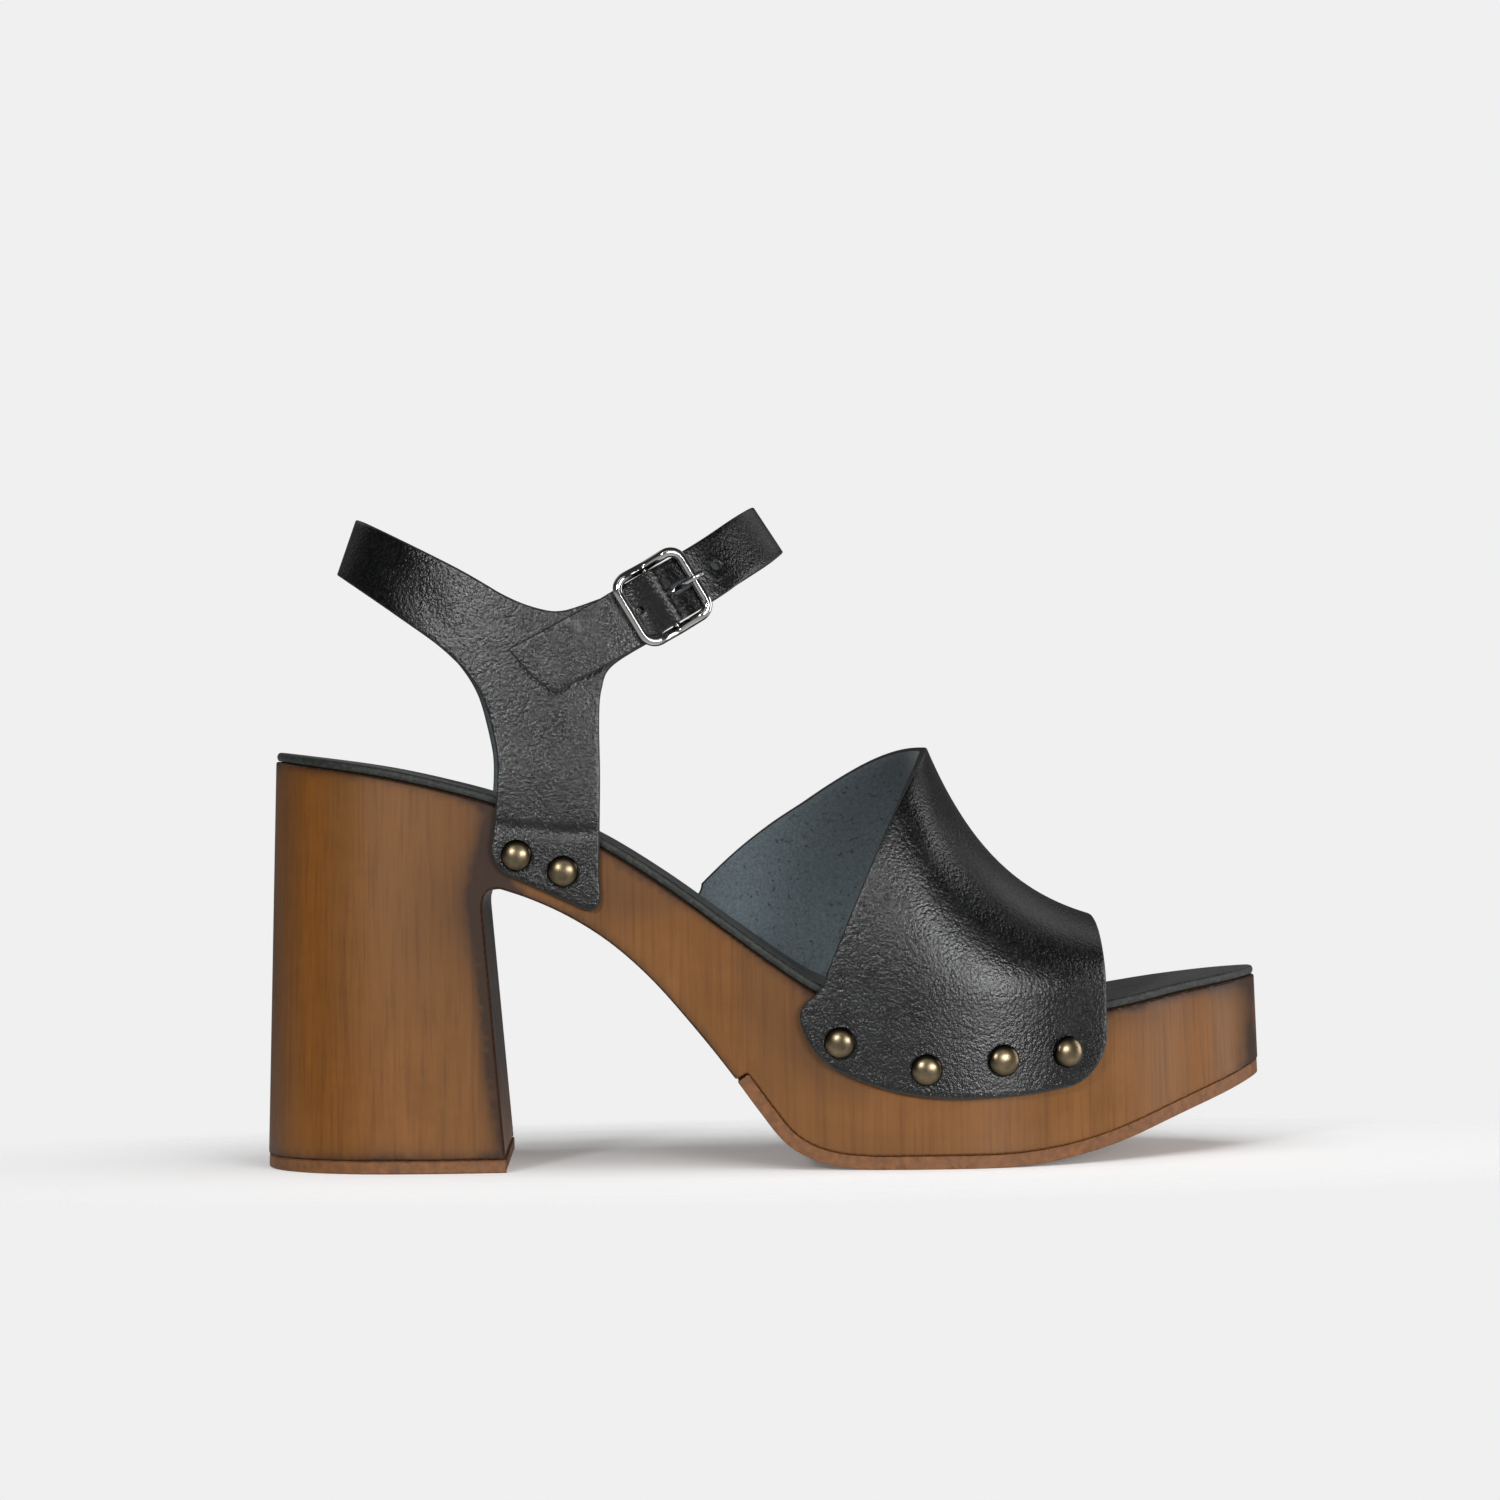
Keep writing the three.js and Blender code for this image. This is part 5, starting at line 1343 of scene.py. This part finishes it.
def make_strap(ankle):
    notch = []
    reach = BUCKLE["bar"] / 2 + SEAM + SLEEVE_WALL + NOTCH_ROOM
    for s, w in ((0, 1), (-reach, 1), (-reach, -1), (0, -1)):
        p = ankle.origin + ankle.s * s + ankle.w * w * PRONG_SLOT / 2
        notch.append((ankle.length_at(ankle.angle_at(LATERAL, p[0], p[2])), p[2]))
    loops = [resample(np.vstack([strap_outline(ankle), notch]), RIM_STEP, closed=True)]
    loops.append(slot_loop(ankle, (HOLE_FROM + HOLE_TO) / 2, 0, (HOLE_TO - HOLE_FROM) / 2,
                           PRONG_SLOT / 2, 28))
    loops += [slot_loop(ankle, s, w, HOLE_RADIUS, HOLE_RADIUS, 18) for s, w in STRAP_HOLES]
    places, faces = fill(loops, inner_points(loops, *STRAP_MESH))
    angles = [ankle.angle_of(u) for u in places[:, 0]]
    points = np.array([ankle.form(angle, z) for angle, z in zip(angles, places[:, 1])])
    normals, faces = mesh_normals(
        points, faces, lambda p: np.array([p[0] - ankle.mid, 4 * p[1], 0]))
    lifted = [ankle.lift(angle, p) for angle, p in zip(angles, points)]
    points = points + normals * np.array([up for up, _ in lifted])[:, None]
    walls = np.array([wall for _, wall in lifted])
    side_view = points[:, [0, 2]]
    raised = np.where(places[:, 0] > ankle.round, trough(side_view, STRAP_CREASES), 0)
    raised += np.where(places[:, 0] < ankle.round / 2, trough(side_view, QUARTER_CREASES), 0)
    return thicken("ankle_strap_leather", points, normals, faces, walls, STRAP_EDGE, raised)


def placed(ankle, s, w, h):
    """A point by the buckle: along the strap, across it, and out from it."""
    return ankle.origin + ankle.s * s + ankle.w * w + ankle.h * h


def tube(points, radius, sides, closed, up):
    """Rings of a round wire along points, as vertices and faces; open ends are rounded."""
    points = np.asarray(points, float)
    ahead = unit_rows(way_round(points) if closed else np.gradient(points, axis=0))
    radii = np.full(len(points), radius)
    if not closed:
        caps = np.radians([90, 66, 44, 22])
        first = [points[0] - ahead[0] * radius * math.sin(t) for t in caps]
        last = [points[-1] + ahead[-1] * radius * math.sin(t) for t in caps[::-1]]
        shrink = radius * np.cos(caps)
        radii = np.concatenate([shrink, radii, shrink[::-1]])
        points = np.vstack([first, points, last])
        ahead = np.vstack([[ahead[0]] * len(caps), ahead, [ahead[-1]] * len(caps)])
    verts = []
    for p, way, r in zip(points, ahead, radii):
        out = np.cross(way, up)
        if np.linalg.norm(out) < 1e-6:
            out = np.cross(way, [1.0, 0, 0])
        out /= np.linalg.norm(out)
        over = np.cross(out, way)
        verts += [p + r * (out * math.cos(t) + over * math.sin(t))
                  for t in np.linspace(0, 2 * math.pi, sides, endpoint=False)]
    return verts, ring_faces(len(points), sides, closed)


def make_frame(ankle):
    """The buckle's rounded frame, whose long sides dip to the bar, with the bar."""
    wire = sizes().wire / MM
    rail, end = BUCKLE["wide"] / 2 - wire / 2, BUCKLE["long"] / 2 - wire / 2
    r = BUCKLE["corner"] - wire / 2
    flat = []
    for (cs, cw), start in (((1, 1), 0), ((-1, 1), 90), ((-1, -1), 180), ((1, -1), 270)):
        for degrees in np.linspace(start, start + 90, 13):
            t = math.radians(degrees)
            flat.append((cs * (end - r) + r * math.cos(t), cw * (rail - r) + r * math.sin(t)))
    flat = resample(np.array(flat), 0.5, closed=True)
    lifts = mix(BUCKLE["bar_lift"], BUCKLE["end_lift"],
                smoothstep(0, FRAME_DIP * end, np.abs(flat[:, 0])))
    ring = [placed(ankle, s, w, h) for (s, w), h in zip(flat, lifts)]
    verts, faces = tube(ring, wire / 2, 20, True, ankle.h)
    bar = [placed(ankle, 0, w, BUCKLE["bar_lift"]) for w in np.linspace(-rail, rail, 24)]
    more, more_faces = tube(bar, BUCKLE["bar"] / 2, 16, False, ankle.h)
    start = len(verts)
    verts += more
    faces += [[i + start for i in face] for face in more_faces]
    frame_piece = new_object("buckle_frame_metal", verts, faces, [polished_nickel()])
    face_outwards(frame_piece)
    return frame_piece


def make_prong(ankle):
    """The buckle's pin: an eye round the bar, and a tip that lies over the frame's end."""
    wire = sizes().wire / MM
    end = BUCKLE["long"] / 2 - wire / 2
    prong_r = PRONG_WIRE / 2
    eye_r = BUCKLE["bar"] / 2 + SEAM + prong_r
    over = BUCKLE["end_lift"] + wire / 2 + 2 * SEAM + prong_r
    route = []
    for degrees in np.linspace(310, 40, 10):
        t = math.radians(degrees)
        route.append((eye_r * math.cos(t), BUCKLE["bar_lift"] + eye_r * math.sin(t)))
    route += [(end * 0.45, BUCKLE["bar_lift"] + 0.9), (end * 0.76, BUCKLE["end_lift"] + 1.2),
              (end, over), (PRONG_REACH, over - 0.1)]
    path = [placed(ankle, s, 0, h) for s, h in spline(route, 90)]
    verts, faces = tube(path, prong_r, 14, False, ankle.w)
    prong = new_object("buckle_prong_metal", verts, faces, [polished_nickel()])
    face_outwards(prong)
    return prong


def make_sleeve(ankle):
    """The leather sleeve round the bar, in two parts that leave room for the prong."""
    bore = BUCKLE["bar"] / 2 + SEAM
    outer, soft, corner = bore + SLEEVE_WALL, 0.35, 0.1
    low, high = PRONG_SLOT / 2, (STRAP_WIDTH - 2 * ARM_INSET) / 2
    profile = [(bore, low), (bore, high), (outer - soft, high), (outer - corner, high - corner),
               (outer, high - soft), (outer, low + soft), (outer - corner, low + corner),
               (outer - soft, low)]
    ring = np.linspace(0, 2 * math.pi, 36, endpoint=False)
    verts, faces = [], []
    for side in (1, -1):
        faces += ring_faces(len(profile), len(ring), closed=True, start=len(verts))
        for radius, w in profile:
            verts += [placed(ankle, radius * math.cos(t), side * w,
                             BUCKLE["bar_lift"] + radius * math.sin(t)) for t in ring]
    sleeve = new_object("strap_sleeve_leather", verts, faces, [upper_leather()])
    face_outwards(sleeve)
    return sleeve


# Nails: name, side, share of the length, and drop below the footbed
NAILS = [
    ("vamp_nail_lateral_1", LATERAL, 0.5616, 10.9), ("vamp_nail_lateral_2", LATERAL, 0.644, 12.6),
    ("vamp_nail_lateral_3", LATERAL, 0.7166, 10.4),
    ("vamp_nail_lateral_4", LATERAL, 0.7788, 9.6),
    ("vamp_nail_medial_1", MEDIAL, 0.472, 10.5), ("vamp_nail_medial_2", MEDIAL, 0.556, 12.5),
    ("vamp_nail_medial_3", MEDIAL, 0.64, 12.5), ("vamp_nail_medial_4", MEDIAL, 0.718, 11.5),
    ("vamp_nail_medial_5", MEDIAL, 0.782, 10.0),
    ("quarter_nail_lateral_1", LATERAL, 0.2455, 12.0),
    ("quarter_nail_lateral_2", LATERAL, 0.2911, 11.6),
    ("quarter_nail_medial_1", MEDIAL, 0.2325, 12.0),
    ("quarter_nail_medial_2", MEDIAL, 0.2755, 11.6),
]
NAIL_DOME, NAIL_SHANK, NAIL_LENGTH = 2.4, 1.8, 9.0


def make_nail(base, row, material):
    """A nail in the wall: a thin shank, a head rolled in at the rim, and a domed top. Its rim
    attribute runs from 0 on the crown to 1 at the head's edge."""
    name, side, share, drop = row
    wall = (sizes().vamp_wall if name.startswith("vamp") else sizes().quarter_wall) / MM
    x = base.at(share)
    z = float(base.top(x)) - drop
    slope_x = (base.wall_y(side, x + 2, z) - base.wall_y(side, x - 2, z)) / 4
    slope_z = (base.wall_y(side, x, z + 2) - base.wall_y(side, x, z - 2)) / 4
    out = side * np.array([-slope_x, 1, -slope_z])
    out /= np.linalg.norm(out)
    across = np.cross(out, [0, 0, 1.0])
    across /= np.linalg.norm(across)
    up = np.cross(across, out)
    foot = np.array([x, base.wall_y(side, x, z), z]) + out * (wall + SNUG + SEAM)
    radius = sizes().nail_head / MM / 2
    profile = [(0.02, -NAIL_LENGTH), (NAIL_SHANK / 2, -NAIL_LENGTH + NAIL_SHANK),
               (NAIL_SHANK / 2, 0), (radius - 0.45, -0.02), (radius - 0.1, 0.08), (radius, 0.32)]
    profile += [(radius * math.cos(t), 0.5 + (NAIL_DOME - 0.5) * math.sin(t))
                for t in np.radians([8, 20, 32, 44, 56, 68, 79])]
    profile.append((0.02, NAIL_DOME))
    sides = 40
    verts, rims = [], []
    for r, h in profile:
        for j in range(sides):
            t = 2 * math.pi * j / sides
            verts.append(foot + out * h + r * (across * math.cos(t) + up * math.sin(t)))
            rims.append(min(r / radius, 1) if h > -1 else 1)
    faces = ring_faces(len(profile), sides)
    faces.append(list(range(sides)))
    faces.append(list(range((len(profile) - 1) * sides, len(profile) * sides)))
    obj = new_object(name + "_brass", verts, faces, [material])
    set_attribute(obj, "rim", rims)
    face_outwards(obj)
    return obj


# Side view of the platform's blocks

BREAST_TOP = HEEL_DEPTH - BREAST_LEAN
HIDDEN_SEAM = 0.22  # glued layers are drawn this much closer than their solids
FRONT_END = 10.0


def profiles(base):
    """The side views of the platform, outsole, insole and heel top piece, as (top, bottom)."""
    back, tip = HEEL_BACK - 10, base.at(1) + FRONT_END
    xs = np.arange(back, tip, 0.5)
    tread_start = base.at(TREAD_START)
    lift = TOP_PIECE + HIDDEN_SEAM

    def beside(profile, distance, points):
        return [base.beside(profile, distance, x) for x in points]

    under = [(back, TOP_PIECE + SEAM), (HEEL_DEPTH - 0.2, TOP_PIECE + SEAM)]
    a = np.array([BREAST_TOP + 0.3, base.waist_z - 2 * BREAST_FILLET])
    b = np.array([BREAST_TOP, base.waist_z - 0.2])
    c = np.array([base.waist_x + BREAST_FILLET, base.under(base.waist_x + BREAST_FILLET)])
    under += [tuple(point) for point in bend(a, b, c, np.linspace(0, 1, 12)[:, None])]
    under += [(x, float(base.under(x)))
              for x in np.arange(base.waist_x + BREAST_FILLET + 0.5, tread_start, 0.5)]
    notch = np.arange(tread_start, tip - FRONT_END / 2, 0.5)
    under += beside(base.under, TREAD + SEAM, notch)
    wood_top = beside(base.top, -INSOLE - SEAM, xs)
    tread_x = notch + SEAM
    tread_low = [(x, float(base.under(x))) for x in tread_x]
    tread_high = beside(base.under, TREAD + HIDDEN_SEAM, tread_x)
    insole_low = beside(base.top, -INSOLE - HIDDEN_SEAM, xs)
    insole_high = [(x, float(base.top(x))) for x in xs]
    return {
        "wood": (wood_top, under),
        "tread": (tread_high, [tread_high[0]] + tread_low),
        "insole": (insole_high, insole_low),
        "top piece": ([(back, lift), (HEEL_DEPTH, lift)],
                      [(back, 0.0), (HEEL_DEPTH, 0.0), (HEEL_DEPTH, lift)]),
    }


SHEET_REACH = 1.6  # how far the floor's sheet goes on, as a share of where it has faded out


def make_floor():
    """A round sheet under the sandal, which fades into the even background."""
    rings, sides = 24, 96
    middle = MIDDLE / MM
    long, wide = (SHEET_REACH * half / MM / rings for half in FLOOR_HALF)
    verts = [(middle, 0.0, 0.0)]
    for k in range(1, rings + 1):
        for j in range(sides):
            turn = 2 * math.pi * j / sides
            verts.append((middle + long * k * math.cos(turn), wide * k * math.sin(turn), 0.0))
    faces = [[0, 1 + j, 1 + (j + 1) % sides] for j in range(sides)]
    faces += [[a, d, c, b] for a, b, c, d in ring_faces(rings, sides, start=1)]
    floor = new_object("floor_paper", verts, faces, [lit_table()])
    return floor


# Lights: name, azimuth to the camera's right and elevation in degrees, distance from the
# sandal, width and height in metres, and radiance where a white sheet is 1
LIGHTS = [
    ("front_softbox", 24, 9, 1.3, 0.5, 0.28, 19.0),
    ("left_strip", -24, 19, 1.3, 0.16, 0.18, 64.0),
    ("wide_fill", 0, 38, 1.5, 1.6, 0.5, 0.6),
    ("right_strip", 92, 10, 0.9, 0.3, 0.7, 4.5),
    ("rear_left", -140, 35, 1.2, 0.6, 0.6, 0.5),
    ("rear_right", 140, 35, 1.2, 0.6, 0.6, 0.5),
]
AIM = Vector((MIDDLE, 0.0, 0.06))
# The light for the floor alone: its y and height, its width and length, and its radiance
FLOOR_LIGHT = (-0.25, 0.8, 1.1, 0.8, 1.95)
# World radiance by the height of the direction, from straight down to straight up
WORLD = [(0.0, 0.5), (0.42, 0.42), (0.5, 0.12), (0.62, 0.04), (1.0, 0.04)]
BACKGROUND = "#f0f0f0"


def area_light(name, place, target, width, height, radiance):
    data = bpy.data.lights.new(name, "AREA")
    data.shape, data.size, data.size_y = "RECTANGLE", width, height
    data.energy = radiance * math.pi * width * height
    light = bpy.data.objects.new(name, data)
    bpy.context.scene.collection.objects.link(light)
    light.location = place
    light.rotation_euler = (target - place).to_track_quat("-Z", "Y").to_euler()
    return light


def make_lights(floor):
    for name, azimuth, elevation, far, width, height, radiance in LIGHTS:
        a, e = math.radians(azimuth), math.radians(elevation)
        way = Vector((math.sin(a) * math.cos(e), -math.cos(a) * math.cos(e), math.sin(e)))
        area_light(name, AIM + way * far, AIM, width, height, radiance)
    y, far, width, height, radiance = FLOOR_LIGHT
    overhead = area_light("floor_light", Vector((MIDDLE, y, far)), Vector((MIDDLE, 0, 0)),
                          width, height, radiance)
    only_floor = bpy.data.collections.new("floor_only")
    only_floor.objects.link(floor)
    overhead.light_linking.receiver_collection = only_floor
    world = bpy.data.worlds.new("studio")
    world.use_nodes = True
    tree = world.node_tree
    tree.nodes.clear()
    way = add_node(tree, "ShaderNodeTexCoord").outputs["Generated"]
    height = add_node(tree, "ShaderNodeSeparateXYZ", {0: way}).outputs["Z"]
    share = add_node(tree, MATH, {0: height, 1: 0.5, 2: 0.5}, operation="MULTIPLY_ADD")
    glow = add_node(tree, RAMP, {"Fac": share.outputs[0]},
                    [(place, grey(value)) for place, value in WORLD])
    around = add_node(tree, "ShaderNodeBackground", {"Color": glow.outputs[0]})
    seen = add_node(tree, "ShaderNodeBackground", {"Color": linear(BACKGROUND)})
    ray = add_node(tree, "ShaderNodeLightPath").outputs["Is Camera Ray"]
    both = add_node(tree, "ShaderNodeMixShader", {
        0: ray, 1: around.outputs[0], 2: seen.outputs[0]})
    add_node(tree, "ShaderNodeOutputWorld", {"Surface": both.outputs[0]})
    bpy.context.scene.world = world
    bpy.context.scene.view_settings.view_transform = "Standard"


# The camera stands as the photograph's did: turned and rolled a little, with its distance and
# the point that it looks at in millimetres
CAMERA_AZIMUTH, CAMERA_ROLL = math.radians(-1.2), math.radians(0.85)
CAMERA_FAR, CAMERA_X, CAMERA_Z = 1100.0, 86.0, 95.6
CAMERA_LENS = 112.34


def make_camera():
    data = bpy.data.cameras.new("photo_view")
    data.lens, data.sensor_width = CAMERA_LENS, 36
    data.clip_start, data.clip_end = 0.05, 20
    camera = bpy.data.objects.new("photo_view", data)
    bpy.context.scene.collection.objects.link(camera)
    back = Vector((math.sin(CAMERA_AZIMUTH), -math.cos(CAMERA_AZIMUTH), 0))
    right = Vector((math.cos(CAMERA_AZIMUTH), math.sin(CAMERA_AZIMUTH), 0))
    up = Vector((0, 0, 1))
    turned_right = right * math.cos(CAMERA_ROLL) - up * math.sin(CAMERA_ROLL)
    turned_up = up * math.cos(CAMERA_ROLL) + right * math.sin(CAMERA_ROLL)
    place = (Vector((CAMERA_X, 0, CAMERA_Z)) + back * CAMERA_FAR) * MM
    turn = Matrix((turned_right, turned_up, back)).transposed().to_4x4()
    camera.matrix_world = Matrix.Translation(place) @ turn
    bpy.context.scene.camera = camera


# Stain, burnish and painted shade on the wood

# Burnished places on the wood in the side view, with painted shade among them round the toe's end:
# x, z, half width, half height, strength
BURNT_AND_SHADED_SPOTS = [
    (12, 58, 12, 24, 0.34), (20, 62, 8, 16, 0.3), (25.5, 52, 4.5, 30, 0.8),
    (26.5, 20, 4, 22, 0.6), (27, 70, 6, 9, 0.6), (30, 82, 7, 7, 0.45), (52, 66, 9, 8, 0.4),
    (-6, 92, 20, 3, 0.22), (97, 29, 9, 11, 0.6), (108, 20, 8, 7, 0.45), (84, 38, 10, 9, 0.3),
    (60, 60, 12, 5, 0.35), (-26.5, 50, 2.4, 60, 0.75), (112, 6, 14, 4, 0.3),
    (170, 33, 14, 5, 0.4), (150, 3.5, 40, 2, 0.25), (104, 42, 7, 5, 0.35),
    (203.5, 25, 3, 20, 0.6), (200, 24, 13, 30, 0.35), (193, 38, 14, 3, 0.25),
    (0, 5, 24, 2.5, 0.25),
]
# Places painted a more golden tone
GOLD_SPOTS = [
    (-16, 60, 6, 60, 1.0), (-6, 16, 12, 16, 0.55), (60, 55, 22, 9, 0.3), (76, 40, 9, 14, 0.4),
    (188, 24, 12, 16, 0.55), (140, 12, 20, 6, 0.35), (187, 37, 3, 2, 0.6),
]
# Strength and width of the dark line on a sanded edge, and of the softer one beside it
EDGE_LINE, EDGE_SHADE = (0.85, 0.5), (0.4, 3.0)
# Edges this close over the tread keep this share of it
SEAM_ROOM, SEAM_SHARE = 4, 0.3


def spots(points, rows):
    """Sum of soft spots at points of the side view."""
    total = np.zeros(len(points))
    for x, z, wide, high, strength in rows:
        far = ((points[:, 0] - x) / wide) ** 2 + ((points[:, 1] - z) / high) ** 2
        total += strength * np.exp(-far)
    return total


def paint_wood(base, wood):
    """Marks where the wood is painted a more golden tone, and where it is darkened: burnished
    edges and spots, and painted shade round the toe's end.
    """
    points = points_of(wood)[:, [0, 2]]
    gap = np.empty(len(points), dtype=np.float32)
    wood.data.attributes["edge_distance"].data.foreach_get("value", gap)
    over_tread = np.array([z - float(base.under(x)) for x, z in points])
    seam = (points[:, 0] > base.at(TREAD_START)) & (over_tread < TREAD + SEAM_ROOM)
    edge = sum(strength * np.exp(-gap / width) for strength, width in (EDGE_LINE, EDGE_SHADE))
    edge = np.where(seam, SEAM_SHARE * edge, edge)
    # Darkening of burnished edges and spots, with painted shade from the spots round the toe's end
    set_attribute(wood, "burn_and_shade", np.clip(edge + spots(points, BURNT_AND_SHADED_SPOTS), 0, 1))
    set_attribute(wood, "gold", np.clip(spots(points, GOLD_SPOTS), 0, 1))


# Operators

# The layers by the wood: piece, its side view, CAD node, slot, material, radius of its edges
LAYERS = [
    ("outsole_rubber", "tread", "outsole", "tread_rubber", tread_rubber, 0.15),
    ("heel_top_piece_rubber", "top piece", "heel_top_piece", "tread_rubber", tread_rubber, 0.35),
    ("insole_leather", "insole", "insole", "footbed_leather", footbed_leather, 0.85),
]
LAYER_INSET = 0.2


class SANDAL_OT_platform(bpy.types.Operator):
    """Makes the stained wood platform with its heel"""
    bl_idname = "sandal.platform"
    bl_label = "Wood platform"

    def execute(self, context):
        base = Base()
        top, bottom = profiles(base)["wood"]
        radius = sizes().edge_round / MM
        wood = block_piece(base, "clog_base_wood", top, bottom, 0, radius, [stained_wood()])
        paint_wood(base, wood)
        settle(wood, "stained_wood", "clog_base")
        return {"FINISHED"}


class SANDAL_OT_soles(bpy.types.Operator):
    """Makes the rubber tread, the heel's top piece and the leather that covers the footbed"""
    bl_idname = "sandal.soles"
    bl_label = "Tread, top piece and footbed"

    def execute(self, context):
        base = Base()
        shapes = profiles(base)
        for name, view, node, slot_name, material, radius in LAYERS:
            top, bottom = shapes[view]
            piece = block_piece(base, name, top, bottom, LAYER_INSET, radius, [material()])
            settle(piece, slot_name, node)
        return {"FINISHED"}


class SANDAL_OT_vamp(bpy.types.Operator):
    """Makes the leather vamp that closes over the forefoot"""
    bl_idname = "sandal.vamp"
    bl_label = "Vamp"

    def execute(self, context):
        settle(make_vamp(Base()), "upper_leather", "vamp")
        return {"FINISHED"}


class SANDAL_OT_strap(bpy.types.Operator):
    """Makes the ankle strap with its quarters"""
    bl_idname = "sandal.strap"
    bl_label = "Ankle strap"

    def execute(self, context):
        settle(make_strap(Ankle(Base())), "upper_leather", "ankle_strap")
        return {"FINISHED"}


class SANDAL_OT_buckle(bpy.types.Operator):
    """Makes the buckle, its prong and the leather sleeve that holds its bar"""
    bl_idname = "sandal.buckle"
    bl_label = "Buckle"

    def execute(self, context):
        ankle = Ankle(Base())
        settle(make_frame(ankle), "buckle_metal", "buckle_frame")
        settle(make_prong(ankle), "buckle_metal", "buckle_prong")
        settle(make_sleeve(ankle), "upper_leather", "ankle_strap")
        return {"FINISHED"}


class SANDAL_OT_nails(bpy.types.Operator):
    """Makes the domed nails that hold the vamp and the quarters"""
    bl_idname = "sandal.nails"
    bl_label = "Nails"

    def execute(self, context):
        base = Base()
        brass = antique_brass()
        for row in NAILS:
            settle(make_nail(base, row, brass), "nail_metal", row[0])
        return {"FINISHED"}


class SANDAL_OT_stage(bpy.types.Operator):
    """Makes the lit floor, the lights and the camera"""
    bl_idname = "sandal.stage"
    bl_label = "Stage"

    def execute(self, context):
        make_lights(make_floor())
        make_camera()
        return {"FINISHED"}


OPERATORS = (
    SANDAL_OT_platform, SANDAL_OT_soles, SANDAL_OT_vamp, SANDAL_OT_strap,
    SANDAL_OT_buckle, SANDAL_OT_nails, SANDAL_OT_stage,
)


class SANDAL_PT_panel(bpy.types.Panel):
    """Lists the sandal's sizes, colours and pieces"""
    bl_idname = "SANDAL_PT_panel"
    bl_label = "Clog sandal"
    bl_space_type = "VIEW_3D"
    bl_region_type = "UI"
    bl_category = "Sandal"

    def draw(self, context):
        for settings in (context.scene.sandal_sizes, context.scene.sandal_colours):
            for name in settings.__annotations__:
                self.layout.prop(settings, name)
        for operator in OPERATORS:
            self.layout.operator(operator.bl_idname)


CLASSES = (SandalSizes, SandalColours, *OPERATORS, SANDAL_PT_panel)


def register():
    for one in CLASSES:
        bpy.utils.register_class(one)
    bpy.types.Scene.sandal_sizes = bpy.props.PointerProperty(type=SandalSizes)
    bpy.types.Scene.sandal_colours = bpy.props.PointerProperty(type=SandalColours)


def unregister():
    del bpy.types.Scene.sandal_sizes
    del bpy.types.Scene.sandal_colours
    for one in reversed(CLASSES):
        bpy.utils.unregister_class(one)


def main():
    register()
    bpy.ops.sandal.platform()
    bpy.ops.sandal.soles()
    bpy.ops.sandal.vamp()
    bpy.ops.sandal.strap()
    bpy.ops.sandal.buckle()
    bpy.ops.sandal.nails()
    bpy.ops.sandal.stage()


if __name__ == "__main__":
    main()
